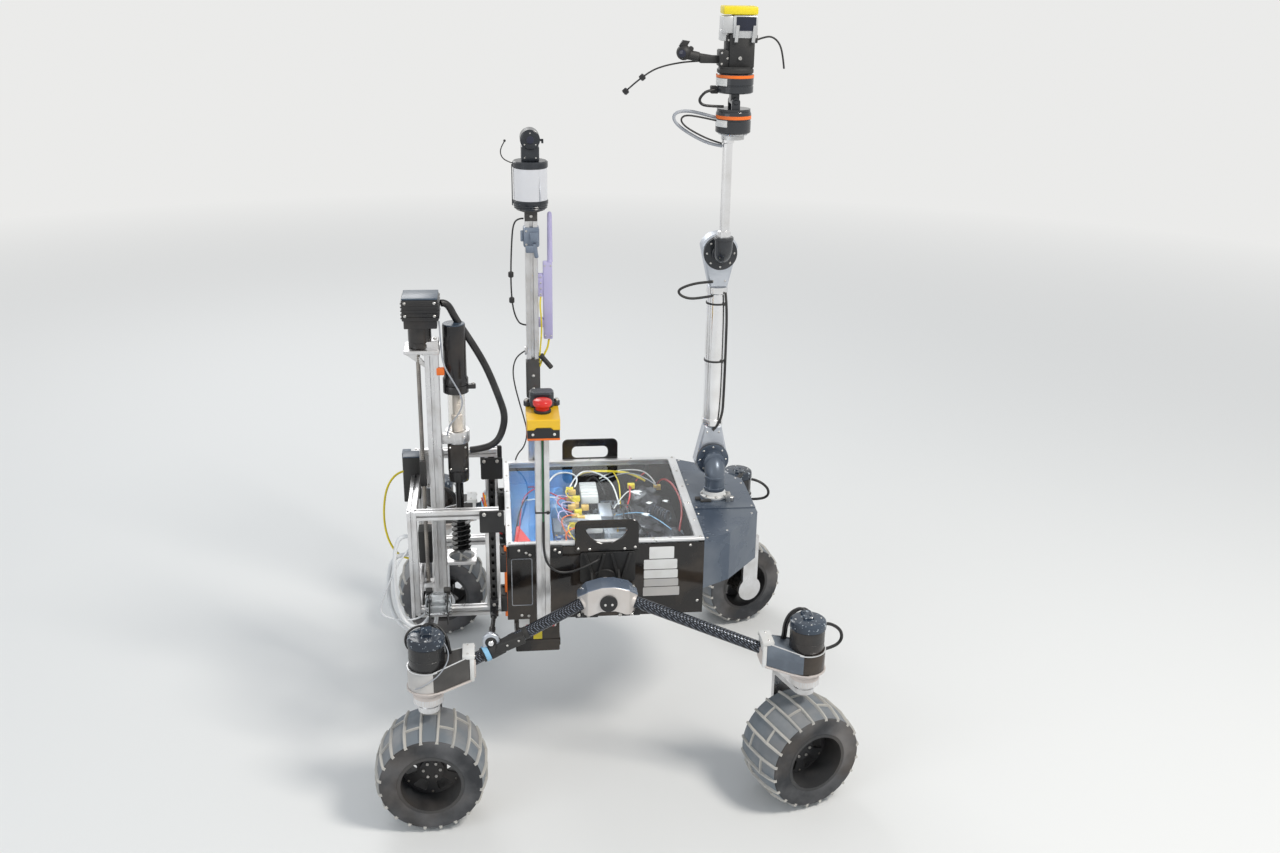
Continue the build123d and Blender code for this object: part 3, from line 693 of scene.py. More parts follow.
def makeCamera(row):
    forward = Vector((
        math.sin(row["yaw"]) * math.cos(row["pitch"]),
        math.cos(row["yaw"]) * math.cos(row["pitch"]),
        -math.sin(row["pitch"]),
    ))
    level = Vector((math.cos(row["yaw"]), -math.sin(row["yaw"]), 0))
    upward = level.cross(forward)
    turn, lean = math.cos(row["roll"]), math.sin(row["roll"])
    sideways, above = turn * level + lean * upward, -lean * level + turn * upward
    data = bpy.data.cameras.new("photoCamera")
    data.sensor_width = 36
    data.lens = row["focal"] / row["width"] * data.sensor_width
    data.shift_x = -(row["middle"][0] - row["width"] / 2) / row["width"]
    data.shift_y = (row["middle"][1] - row["height"] / 2) / row["width"]
    camera = bpy.data.objects.new("photoCamera", data)
    axes = Matrix((sideways, above, -forward)).transposed().to_4x4()
    camera.matrix_world = Matrix.Translation(row["place"]) @ axes
    show(camera)
    bpy.context.scene.camera = camera


makeCamera(photo)

studio = {
    "floorSize": 60, "pale": (0.83, 0.83, 0.82), "sky": (0.88, 0.94, 1.0), "skyStrength": 0.5,
    "fade": (2.2, 7.0)
}


def seenPlain(tree, plain, shader):
    # The camera, mirrors and glass meet the plain colour; all else meets the shader
    path = tree.nodes.new("ShaderNodeLightPath")
    seen = combine(tree, "MAXIMUM", path.outputs["Is Camera Ray"], path.outputs["Is Glossy Ray"])
    seen = combine(tree, "MAXIMUM", seen, path.outputs["Is Transmission Ray"])
    return blendShaders(tree, seen, shader, plain)


def makeStudio(row):
    bpy.ops.mesh.primitive_plane_add(size=row["floorSize"])
    floor = bpy.context.object
    floor.name = "floor"
    paint, tree, shader = newSurface("floorPaint")
    give(shader, {"Base Color": (*row["pale"], 1), "Roughness": 0.9})
    # Far off, the floor turns into the backdrop
    glow = tree.nodes.new("ShaderNodeEmission")
    give(glow, {"Color": (*row["pale"], 1)})
    place = tree.nodes.new("ShaderNodeTexCoord")
    distance = tree.nodes.new("ShaderNodeVectorMath")
    distance.operation = "LENGTH"
    link(tree, place.outputs["Object"], distance.inputs[0])
    fade = span(tree, distance.outputs["Value"], *row["fade"])
    shown = blendShaders(tree, fade, shader.outputs["BSDF"], glow.outputs["Emission"])
    link(tree, shown, tree.nodes["Material Output"].inputs["Surface"])
    floor.data.materials.append(paint)
    world = bpy.data.worlds.new("studio")
    world.use_nodes = True
    tree = world.node_tree
    light = tree.nodes["Background"]
    give(light, {"Color": (*row["sky"], 1), "Strength": row["skyStrength"]})
    backdrop = tree.nodes.new("ShaderNodeBackground")
    give(backdrop, {"Color": (*row["pale"], 1)})
    shown = seenPlain(tree, backdrop.outputs["Background"], light.outputs["Background"])
    link(tree, shown, tree.nodes["World Output"].inputs["Surface"])
    bpy.context.scene.world = world


# Lamps: place, size and power, all turned to the middle of the rover
lampAim = (0, 0, 0.6)
lamps = [
    {"name": "key", "place": (2.4, -2.2, 4.4), "size": 1.2, "power": 150, "colour": (1.0, 0.96, 0.90)},
    {"name": "fill", "place": (-3.4, -2.8, 2.2), "size": 2.6, "power": 34, "colour": (0.92, 0.96, 1.0)},
    {"name": "rim", "place": (-1.2, 3.6, 3.2), "size": 2.0, "power": 50, "colour": (1.0, 1.0, 1.0)},
]


def makeLamp(row):
    data = bpy.data.lights.new(row["name"], "AREA")
    data.size, data.energy, data.color = row["size"], row["power"], row["colour"]
    lamp = bpy.data.objects.new(row["name"], data)
    lamp.location = row["place"]
    lamp.rotation_euler = (Vector(lampAim) - Vector(row["place"])).to_track_quat("-Z", "Y").to_euler()
    show(lamp)


makeStudio(studio)
for row in lamps:
    makeLamp(row)
bpy.context.scene.view_settings.view_transform = "Standard"
print("studio")

# Wheels
corners = [
    {"name": "front_right", "way": 1, "side": -1, "turn": 20},
    {"name": "front_left", "way": 1, "side": 1, "turn": 20},
    {"name": "rear_right", "way": -1, "side": -1, "turn": 0},
    {"name": "rear_left", "way": -1, "side": 1, "turn": 0},
]
wheel = {
    "x": 403, "y": 420, "z": 118.89, "halfWidth": 70, "lugs": 20, "lugThick": 5, "lugTop": 119.8,
    "root": 115, "edgeRoot": 107, "flat": 28, "lugDrop": 1.6, "buried": 4, "ribOffset": 24, "ribThick": 3.6,
}


def wheelPlace(corner):
    # A wheel is drawn with its axis up and its outer side on top
    spot = Matrix.Translation((corner["way"] * wheel["x"], corner["side"] * wheel["y"], 0))
    swing = Matrix.Rotation(math.radians(corner["turn"]), 4, "Z")
    tip = Matrix.Rotation(math.radians(-corner["side"] * 90), 4, "X")
    return spot @ swing @ Matrix.Translation((0, 0, wheel["z"])) @ tip


def crown(height):
    # Radius of the tread's floor across its width
    past = max(0.0, abs(height) - wheel["flat"]) / (wheel["halfWidth"] - wheel["flat"])
    return wheel["root"] - (wheel["root"] - wheel["edgeRoot"]) * past


# Sidewall from the shoulder to the bead: distance from the wheel's middle and radius
wallProfile = [
    (66.4, 107.2), (69.2, 105.4), (69.95, 100.5), (69.6, 93), (68.8, 85), (69, 78), (69.9, 73.5), (70, 71.2),
    (69.4, 70)
]


def drawTyre(bm):
    steps = 9
    across = [wheel["halfWidth"] * (2 * n / steps - 1) * 0.95 for n in range(steps + 1)]
    wall = [(h - 0.6, r - 0.3) for h, r in wallProfile]
    profile = [(h, crown(h)) for h in across] + wall + [(-h, r) for h, r in reversed(wall)]
    addUpright(bm, profile, 0, 0, 80, closed=True)


def addSkin(part, rows):
    # Closed skin over rows of points, one row to the next, with a face on each end
    rings = [[part.verts.new(spot) for spot in row] for row in rows]
    count = len(rings[0])
    for here, there in zip(rings, rings[1:]):
        for n in range(count):
            after = (n + 1) % count
            part.faces.new((here[n], here[after], there[after], there[n]))
    part.faces.new(rings[0])
    part.faces.new(rings[-1])
    bmesh.ops.recalc_face_normals(part, faces=part.faces[:])


def makeLug():
    # One cross lug standing on +X, following the crown and cut down at both shoulders
    bm = bmesh.new()
    steps, half, rise = 10, wheel["lugThick"] / 2, wheel["lugTop"] - wheel["root"]
    rows = []
    for n in range(steps + 1):
        height = wheel["halfWidth"] * (2 * n / steps - 1) * 0.995
        top, low = crown(height) + rise - (
            wheel["lugDrop"] if n in (0, steps) else 0
        ), crown(height) - wheel["buried"]
        section = [
            (low, -half * 1.5), (top - 1.2, -half), (top, -half * 0.6), (top, half * 0.6), (top - 1.2, half),
            (low, half * 1.5)
        ]
        rows.append([(x, y, height) for x, y in section])
    addSkin(bm, rows)
    return shapeObject("lug", bm)


def makeRib(offset):
    # A low bar from one lug to the next, along the wheel's rolling direction
    bm = bmesh.new()
    half, pitch = wheel["ribThick"] / 2, 2 * math.pi / wheel["lugs"]
    low, top = crown(offset) - wheel["buried"], crown(offset) + wheel["lugTop"] - wheel["root"] - 1.2
    rows = []
    for n in range(5):
        turn = pitch * (n / 4 - 0.5)
        section = [(low, -half * 1.4), (top, -half), (top, half), (low, half * 1.4)]
        rows.append([(r * math.cos(turn), r * math.sin(turn), offset + h) for r, h in section])
    addSkin(bm, rows)
    return shapeObject("rib", bm)


def treadRing(shape, count, lead):
    holder = bpy.data.objects.new("seed", bpy.data.meshes.new("seed"))
    return runTree(
        treadTree, holder, {"Shape": shape, "Count": count, "Lead": lead, "Finish": materials["treadEdge"]}
    )


def makeWheel(corner):
    name, body, place = corner["name"], "rolling_" + corner["name"], wheelPlace(corner)
    bm = bmesh.new()
    drawTyre(bm)
    bm.transform(place)
    finishPiece("tyreShell_" + name, bm, "tread", body, replaced=["tyre_" + name], corner=25)
    # Every second cell has its rib towards the outer side, the others towards the inner side
    bm = bmesh.new()
    half = wheel["lugs"] // 2
    for mesh in (
        treadRing(makeLug(), wheel["lugs"], 0.5), treadRing(makeRib(wheel["ribOffset"]), half, 0.0),
        treadRing(makeRib(-wheel["ribOffset"]), half, 0.5)
    ):
        bm.from_mesh(mesh)
    bm.transform(place)
    finishPiece("lugs_" + name, bm, "treadEdge", body)
    # Both sidewalls get the near-black sidewall finish: painted shade on the tyre's sides
    bm = bmesh.new()
    for way in (1, -1):
        addTurned(bm, wallProfile + [(60, 70.2), (60, 104)], (0, 0, 0), (0, 0, way), 80, closed=True)
    bm.transform(place)
    finishPiece("sidewalls_" + name, bm, "sidewall", body, corner=25)
    outwards = place.to_3x3() @ Vector((0, 0, 1))
    bolts = [place @ Vector((x, y, 12)) for x, y in ring(0, 0, 18, 6)]
    fasten(body, "cap", "steel", outwards, 3.4, *bolts)
    bolts = [place @ Vector((x, y, 6)) for x, y in ring(0, 0, 58.5, 12)[1::2]]
    fasten(body, "dome", "screw_steel", outwards, 3, *bolts)


for corner in corners:
    makeWheel(corner)
print("tyres")

# Slotted bars: posts, the drill's column and its frame
bar = {"half": 15, "lip": 2, "opening": 4.1, "hollow": 8.2, "floor": 7, "chamfer": 1.4, "core": 3.4}


def barLoops(row):
    half, inner = row["half"], row["half"] - row["lip"]
    side = [
        (half, row["chamfer"] - half), (half, -row["opening"]), (inner, -row["opening"]),
        (inner, -row["hollow"]), (inner - 1.2, -row["hollow"]), (row["floor"], -3.6), (row["floor"], 3.6),
        (inner - 1.2, row["hollow"]), (inner, row["hollow"]), (inner, row["opening"]), (half, row["opening"]),
        (half, half - row["chamfer"]),
    ]
    outline = []
    for cosine, sine in ((1, 0), (0, 1), (-1, 0), (0, -1)):
        outline += [(cosine * x - sine * y, sine * x + cosine * y) for x, y in side]
    return [outline, ring(0, 0, row["core"], 10)]


def makeBar():
    bm = bmesh.new()
    addPlate(bm, barLoops(bar), 0, 1, edge=0)
    return shapeObject("bar", bm)


barShape = makeBar()
post = {"x": -154, "y": 260, "low": 380, "stopHigh": 825, "mastHigh": 1160}
column = {"x": -383, "y": -80, "low": 372, "high": 948}
drillFrame = {"x": (-440, -247), "y": (-268, 108), "z": (398, 648), "bar": 20}


def frameRows(row):
    half, small = row["bar"] / 2, row["bar"] / 30
    (rear, fore), (near, far), (low, high) = row["x"], row["y"], row["z"]
    rows = []
    for y in (near + half, far - half):
        rows.append(((rear + half, y, low), up, (small, small, high - low)))
        for z in (low + half, high - half):
            rows.append(((rear + row["bar"], y, z), front, (small, small, fore - rear - row["bar"])))
    for z in (low + half, high - half):
        rows.append(((rear + half, near + row["bar"], z), left, (small, small, far - near - 2 * row["bar"])))
    return rows


posts = [("estopPost", "estop_post", -1, post["stopHigh"]), ("mastBar", "mast_profile", 1, post["mastHigh"])]
for name, node, side, high in posts:
    rows = [((post["x"], side * post["y"], post["low"]), up, (1, 1, high - post["low"]))]
    setShapes(name, barShape, "aluminium", "chassis", rows, replaced=[node])
rows = [((column["x"], column["y"], column["low"]), up, (1, 1, column["high"] - column["low"]))]
setShapes("columnBar", barShape, "aluminium", "drill_carriage", rows, replaced=["drill_column"])
setShapes("frameBars", barShape, "aluminium", "chassis", frameRows(drillFrame), replaced=["drill_frame"])
print("bars")

# Front uprights of the drill frame: two silver strips with a slotted black rail between them
upright = {"x": (-277, -247), "strip": 8, "deep": 20, "slots": 11}


def makeUprights():
    low, high = drillFrame["z"][0] + 20, drillFrame["z"][1] - 20
    strips, rails = blanks(2)
    for y in (drillFrame["y"][0], drillFrame["y"][1] - upright["deep"]):
        for x in (upright["x"][0], upright["x"][1] - upright["strip"]):
            addBox(strips, (x, y, low), (x + upright["strip"], y + upright["deep"], high), 1.5)
        x = (upright["x"][0] + upright["strip"], upright["x"][1] - upright["strip"])
        pitch = (high - low) / upright["slots"]
        marks = [low + pitch * n for n in range(upright["slots"])]
        holes = [rounded((x[0] + 4, x[1] - 4), (z + pitch * 0.22, z + pitch * 0.78), 2.9, 3) for z in marks]
        outline = [(x[0], low), (x[1], low), (x[1], high), (x[0], high)]
        addPlate(rails, [outline, *holes], -y - 8, -y - 3, 0.4, onRight)
        addBox(rails, (x[0], y + 12, low), (x[1], y + 18, high), 0.5)
    finishPiece("uprightStrips", strips, "aluminium")
    finishPiece("uprightRails", rails, "matt_black")


makeUprights()

# Black brackets and plates that tie the frame to the body
def makeFrameBrackets():
    bm = bmesh.new()
    (near, far), high = drillFrame["y"], drillFrame["z"][1]
    for way, side, y in ((right, -1, near), (left, 1, far)):
        plate = [rounded((-288, -236), (high - 50, high), 4)]
        if side < 0:
            addPlate(bm, plate, -near + 0.05, -near + 6, 1, onRight)
        else:
            addPlate(bm, plate, far + 0.05, far + 6, 1, onLeft)
        screw("cap", way, 4.2, (-278, y + side * 6, high - 6), (-245.5, y + side * 6, high - 6.5))
    addPlate(bm, [rounded((-287, -235), (572, 627), 4)], -far + 20, -far + 24, 0.8, onRight)
    screw("cap", right, 4, (-279, far - 24, 619), (-248, far - 24, 619))
    for y in ((near, -205), (60, far)):
        for z in ((404, 440), (500, 540)):
            addBox(bm, (-246.9, y[0] + 0.2, z[0]), (-233.1, y[1] - 0.2, z[1]), 1.2)
            for py in (y[0] + 10, y[1] - 12):
                addRod(bm, (-240, py, z[1] - 1), (-240, py, z[1] + 3), 4, 0.6, 16)
    finishPiece("frameBrackets", bm, "matt_black", replaced=["corner_plates"])


makeFrameBrackets()

# Body: what is fixed to its near and far panels
panel = {"y": 243, "x": (-233, 203)}


def drawWeb(bm, start, end, width, deep):
    # A slanted rib on the near panel
    (x0, z0), (x1, z1) = start, end
    addPlate(
        bm, [[(x0 - width / 2, z0), (x0 + width / 2, z0), (x1 + width / 2, z1), (x1 - width / 2, z1)]],
        panel["y"], panel["y"] + deep, 0.8, onRight
    )


def makePanelPlates():
    bm = bmesh.new()
    y = panel["y"]
    addPlate(bm, [rounded((-72.7, 49.5), (456.8, 530), 6)], y, y + 4, 1, onRight)
    for start, end in (
        ((-62, 528), (-40, 460)), ((-20, 528), (-36, 460)), ((-4, 528), (14, 460)), ((38, 528), (18, 460))
    ):
        drawWeb(bm, start, end, 6, 10)
    addMirror(bm)
    addPlate(bm, [rounded((-229, -168), (522, 552), 4)], y, y + 5, 1, onRight)
    addPlate(bm, [rounded((-137, -111), (520, 549), 4)], y, y + 5, 1, onRight)
    finishPiece("panelPlates", bm, "matt_black")
    screw(
        "dome", right, 3.6, (-206, -y - 5, 541), (-190, -y - 5, 535), (-182, -y - 5, 530),
        (-128, -y - 5, 540), (-118, -y - 5, 533)
    )
    screw(
        "dome", right, 3.4, (171.8, -y, 538), (-201.7, -y, 380), (-186.3, -y, 378), (190.7, -y, 400),
        (-77, -y - 6, 541), (-51.8, -y - 6, 539), (25.2, -y - 6, 538), (48.4, -y - 6, 541)
    )
    screw(
        "dome", left, 3.4, (-77, y + 6, 541), (-51.8, y + 6, 539), (25.2, y + 6, 538), (48.4, y + 6, 541),
        (171.8, y, 538), (-201.7, y, 380), (190.7, y, 400)
    )


def makeStickers():
    # Bare labels, one under the other
    y, bm, pink = panel["y"], *blanks(2)
    rows = [((80.5, 135.7), (507.6, 536.5)), ((68.8, 143.2), (482, 505.5)), ((69.2, 144.9), (459.5, 480))]
    for x, z in rows:
        addPlate(bm, [rounded(x, z, 2, 3)], y, y + 0.5, 0, onRight)
    for x, z in (((69.6, 146.5), (439.5, 457.5)), ((67.7, 149.4), (416, 437.5))):
        addPlate(pink, [rounded(x, z, 2, 3)], y, y + 0.5, 0, onRight)
    finishPiece("labelsWhite", bm, "white")
    finishPiece("labelsTinted", pink, "printed_grey")
    bm = bmesh.new()
    x, z = (-223, -177), (404.6, 519.6)
    inner = rounded((x[0] + 1.6, x[1] - 1.6), (z[0] + 1.6, z[1] - 1.6), 3)
    addPlate(bm, [rounded(x, z, 4), inner], y, y + 0.6, 0, onRight)
    finishPiece("plateBorder", bm, "cable_grey")
    finishBoxes("edgeStrip", "orange", ((-238, -y - 2, 380), (-232.5, -y + 9, 549), 1))


def handleLoop():
    x, z = (-84, 56), (533, 607)
    crest = arc(x[1] - 14, z[1] - 14, 14, 0, 90) + arc(x[0] + 14, z[1] - 14, 14, 90, 180)
    return [(x[0], z[0]), (x[1], z[0])] + crest


def makeHandles():
    bm, y = bmesh.new(), panel["y"]
    # The near handle's opening is a lens, flat on top; the far one's is a plain round-ended slot
    lens = arc(-14.5, 600, 48.5, 200, 340, 12)
    lens = [(x, z) for x, z in lens if z < 584] + [(31, 584), (26, 588), (-55, 588), (-60, 584)]
    near = [handleLoop(), lens]
    addPlate(bm, near, y, y + 6, 1.6, onRight)
    addPlate(bm, [handleLoop(), rounded((-60, 31), (557, 588), 12)], y, y + 6, 1.6, onLeft)
    finishPiece("handles", bm, "body_black", replaced=["carry_handles"])


makePanelPlates()
makeStickers()
makeHandles()
print("panels")

# Lid: clear sheet in a silver ring with screws
lid = {"rim": 14, "low": 548, "high": 555}


def makeLid():
    (rear, fore), half = panel["x"], panel["y"]
    bm = bmesh.new()
    outline = [(rear, -half), (fore, -half), (fore, half), (rear, half)]
    opening = rounded((rear + lid["rim"], fore - 20), (12 - half, half - lid["rim"]), 6)
    addPlate(bm, [outline, opening], lid["low"], lid["high"], 1.2)
    finishPiece("lidRing", bm, "lid_silver", replaced=["lid_frame"])
    places = []
    for n in range(5):
        x = rear + 7 + (fore - rear - 16) * n / 4
        places += [(x, -half + 6, lid["high"]), (x, half - 7, lid["high"])]
    for n in range(1, 5):
        y = -half + 2 * half * n / 5
        places += [(rear + 7, y, lid["high"]), (fore - 9, y, lid["high"])]
    screw("dome", up, 3.2, *places)


makeLid()

# Inside the box: cases and boards as x, y, z and finish, then plugs and wires
cases = [
    ((-222, -124), (-190, 232), (374, 496), "electronics"),
    ((-120, -50), (-150, -40), (374, 470), "tray_grey"),
    ((-118, -20), (10, 90), (374, 462), "tray_grey"), ((0, 90), (-180, -60), (374, 452), "matt_black"),
    ((0, 110), (-30, 60), (374, 472), "tray_grey"), ((122, 188), (-200, -20), (374, 470), "tray_grey"),
    ((-60, 120), (110, 210), (374, 440), "tray_grey"), ((-122, -84), (100, 232), (374, 484), "panel_blue"),
    ((-47, -4), (-26, 38), (470, 492), "white"),
    ((-222, -60), (227, 231), (380, 530), "electronics"), ((-5, 26), (38, 118), (470, 486), "bare_metal"),
    ((130, 186), (60, 200), (374, 458), "matt_black"), ((96, 140), (-70, -20), (470, 484), "slate"),
]
boards = [
    ((-118, -52), (-148, -42), 476, "board_blue"), ((4, 86), (-176, -64), 462, "board_blue"),
    ((28, 106), (-26, 56), 480, "tray_grey"), ((-55, 115), (114, 206), 450, "tray_grey"),
]
plugs = [
    (-70, 176, 500), (-66, 150, 504), (-72, 118, 500), (-58, 106, 506), (-62, 82, 500), (-72, 58, 504),
    (-58, 40, 500), (-66, 14, 500), (-54, -6, 504), (-74, -30, 498), (-60, -52, 502), (-40, 60, 502),
    (84, 176, 506), (150, 176, 500)
]
insideWires = [
    ("red", 2.6, [
        (158, 228, 486), (166, 206, 512), (182, 150, 520), (190, 90, 520), (190, 19, 518), (182, -40, 512),
        (170, -84, 500), (160, -130, 480)
    ]),
    ("red", 2.0, [(84, 168, 500), (76, 150, 518), (74, 107, 522), (70, 70, 516), (58, 45, 500)]),
    ("red", 1.6, [(100, 215, 500), (118, 236, 512), (136, 246, 508), (150, 230, 490)]),
    ("red", 1.5, [(-172, 196, 500), (-150, 170, 512), (-122, 130, 512), (-84, 100, 504)]),
    ("red", 1.2, [(-200, -60, 500), (-196, 60, 506), (-176, 160, 506), (-128, 214, 500)]),
    ("yellow", 3.0, [
        (-52, 288, 470), (-46, 230, 520), (-6, 226, 526), (40, 226, 524), (90, 222, 520), (124, 214, 500)
    ]),
    ("yellow", 1.6, [(42, 226, 524), (50, 200, 520), (54, 150, 510), (50, 100, 480)]),
    ("yellow", 1.5, [(-60, 80, 505), (-86, 96, 518), (-80, 140, 520), (-66, 150, 508)]),
    ("yellow", 1.4, [(-74, -30, 502), (-92, -70, 515), (-84, -100, 500), (-60, -110, 480)]),
    ("orange", 1.8, [(-60, -52, 502), (-84, -84, 512), (-100, -96, 500), (-88, -120, 480)]),
    ("orange", 1.4, [(-66, 14, 502), (-98, -6, 512), (-104, -60, 506), (-84, -90, 490)]),
    ("white", 2.2, [(-128, 190, 500), (-112, 222, 522), (-70, 226, 526), (-44, 196, 520), (-58, 176, 505)]),
    ("white", 2.0, [
        (-70, 176, 505), (-50, 214, 526), (-14, 222, 530), (24, 170, 530), (38, 110, 524), (44, 60, 500)
    ]),
    ("white", 1.8, [(8, 226, 505), (40, 232, 522), (90, 232, 526), (132, 226, 520), (148, 196, 500)]),
    ("white", 1.6, [(-96, 118, 500), (-118, 100, 514), (-150, 96, 512), (-190, 110, 500)]),
    ("white", 1.5, [(30, 60, 495), (60, 100, 520), (84, 110, 520), (100, 90, 500)]),
    ("cable_grey", 1.6, [(10, 220, 500), (54, 214, 524), (110, 206, 524), (146, 160, 510)]),
    ("cable_grey", 1.2, [(-100, 120, 500), (-112, 60, 514), (-110, 0, 512), (-90, -40, 500)]),
    ("rubber", 3.0, [(36, 90, 486), (52, 40, 516), (58, 0, 516), (62, -40, 500)]),
    ("rubber", 2.6, [(44, 96, 486), (60, 50, 512), (68, 10, 514), (72, -40, 500)]),
    ("rubber", 2.4, [(30, 80, 486), (44, 30, 510), (48, -10, 512), (50, -50, 496)]),
    ("rubber", 1.8, [(-206, -40, 498), (-200, 20, 508), (-186, 90, 508), (-176, 140, 498)]),
    ("rubber", 2.2, [(-46, 214, 470), (-20, 222, 512), (6, 214, 512), (20, 180, 480)]),
    ("light_blue", 1.2, [(30, 20, 495), (60, -20, 520), (110, -30, 520), (150, -90, 505)]),
    ("radio_lilac", 1.5, [
        (-72, 118, 502), (-100, 120, 512), (-112, 84, 512), (-96, 60, 505), (-72, 58, 506)
    ]),
    ("radio_lilac", 1.3, [
        (-66, 14, 502), (-96, 26, 514), (-112, -10, 512), (-100, -50, 505), (-74, -60, 500)
    ]),
    ("radio_lilac", 1.3, [(-62, 82, 503), (-92, 74, 514), (-100, 40, 512), (-84, 10, 504)]),
    ("stop_red", 1.2, [(-72, 118, 502), (-104, 100, 510), (-106, 50, 510), (-72, 30, 502)]),
]


def drawRibbon(bm, start, end, lift, count, pitch):
    # A flat bunch of thin wires side by side, bowed upwards
    start, end = Vector(start), Vector(end)
    across = (end - start).cross(Vector(up)).normalized() * pitch
    for n in range(count):
        shift = across * (n - count / 2)
        middle = (start + end) / 2 + Vector((0, 0, lift))
        addWire(bm, [
            start + shift, start + shift + Vector((0, 0, lift * 0.7)), middle + shift,
            end + shift + Vector((0, 0, lift * 0.7)), end + shift
        ], pitch * 0.45, 1)


def drawBundle(bm, spots, size, seed):
    # Crumpled black sheet: a ball pushed in and out, pressed flat
    part = bmesh.new()
    bmesh.ops.create_icosphere(part, subdivisions=3, radius=1)
    for vert in part.verts:
        fold = mathNoise.noise(
            vert.co * 2.4 + Vector((seed, 0, 0))
        ) + 0.6 * mathNoise.noise(vert.co * 6 + Vector((0, seed, 0)))
        vert.co = Vector([c * s * (1 + 0.55 * fold) for c, s in zip(vert.co, size)])
    addPart(bm, part, Matrix.Translation(spots))


def makeInside():
    byFinish = defaultdict(bmesh.new)
    for x, y, z, finish in cases:
        addBox(byFinish[finish], (x[0], y[0], z[0]), (x[1], y[1], z[1]), 2)
    for x, y, z, finish in boards:
        addBox(byFinish[finish], (x[0], y[0], z), (x[1], y[1], z + 1.6), 0.3)
        for cx in (x[0] + 4, x[1] - 4):
            for cy in (y[0] + 4, y[1] - 4):
                addRod(byFinish["gold"], (cx, cy, z - 12), (cx, cy, z + 3), 2.4, 0.4, 12)
    for n, (x, y, z) in enumerate(plugs):
        addBox(byFinish["plug_tan" if n % 3 else "yellow"], (x - 9, y - 6, z - 8), (x + 9, y + 6, z + 4), 1)
        addBox(byFinish["gold"], (x - 7, y + 6, z - 5), (x + 7, y + 12, z + 1), 0.6)
    # White blocks side by side, a coil of rings on the sheet whose paler rings are painted highlights, and
    # pale flakes between that are painted highlights on the black bundles
    for n in range(7):
        addBox(
            byFinish["white"], (-44, 124 + 14 * n, 478 + (n % 2)), (-2, 134.5 + 14 * n, 500 + (n % 3)), 1.4
        )
    addBox(byFinish["matt_black"], (-43, 122, 468), (-3, 222, 482), 1)
    for finish, radius, points in insideWires:
        addWire(byFinish[finish], points, radius)
    drawRibbon(byFinish["cable_grey"], (-100, -20, 478), (10, -60, 466), 42, 8, 1.6)
    addPlate(byFinish["white"], [[(88, 100), (112, 96), (122, 30), (104, 4), (92, 40)]], 488, 490, 0.4)
    addPlate(byFinish["stop_red"], [[(-216, -150), (-166, -150), (-206, -20)]], 498, 500, 0.4)
    for spot, size, seed in (
        ((112, 104, 494), (36, 60, 24), 3), ((104, -34, 490), (40, 48, 24), 7),
        ((74, 24, 494), (22, 30, 18), 12), ((150, -100, 486), (26, 40, 20), 19)
    ):
        drawBundle(byFinish["bag_black"], spot, size, seed)
    # Every second ring of the black coil takes the paler, speckled lid_gloss: painted highlights on the coil
    for n in range(8):
        addRing(
            byFinish["lid_gloss" if n % 2 else "bag_black"], (112 + 5 * n, -8 - 6 * n, 519),
            (0.75, -0.65, 0.1), 13, 2.1, 28
        )
    # Pale flakes on the black bundles: painted highlights
    highlightFlake = [(-0.4, -0.5), (0.6, -1), (0.3, -0.2), (1, 0.4), (-0.2, 0.9), (-1, 0.3)]
    for cx, cy, wide in ((88, 88, 15), (112, 22, 9), (96, -44, 10), (152, 30, 8)):
        addPlate(byFinish["white"], [[(cx + wide * px, cy + wide * py) for px, py in highlightFlake]], 523, 524.2, 0.2)
    # Floor tray that the cases stand on
    addBox(byFinish["tray_grey"], (-228, -238, 374.2), (198, 238, 380), 1)
    for y in (-236, 231):  # inner silver band along the walls
        addBox(byFinish["lid_silver"], (-228, y, 538), (198, y + 5, 547), 0.8)
    addBox(byFinish["lid_silver"], (190, -236, 532), (197.5, 236, 547), 0.8)
    for finish, bm in sorted(byFinish.items()):
        replaced = ["electronics"] if finish == "electronics" else []
        finishPiece("inside_" + finish, bm, finish, replaced=replaced)


def makeBoardParts():
    unit = bmesh.new()
    addBox(unit, (-0.5, -0.5, 0), (0.5, 0.5, 1), 0.04)
    chip = shapeObject("chip", unit)
    for n, ((rear, fore), (near, far), z, _) in enumerate(boards):
        top = bmesh.new()
        face = ((rear + 6, near + 6), (fore - 6, near + 6), (fore - 6, far - 6), (rear + 6, far - 6))
        top.faces.new([top.verts.new((x, y, z + 1.6)) for x, y in face])
        chips = "matt_black" if n % 2 else "bare_metal"
        mesh = runTree(
            boardTree, shapeObject("boardTop", top),
            {"Shape": chip, "Spacing": 13.0, "Seed": 5 + n, "Finish": materials[chips]}
        )
        finishMesh(f"boardParts{n}", mesh, chips, "chassis")


makeInside()
makeBoardParts()
print("inside")

# Stop button on the near post
stop = {"x": -152, "y": (-325, -225), "z": (825, 870), "half": 34, "button": (-152, -275)}


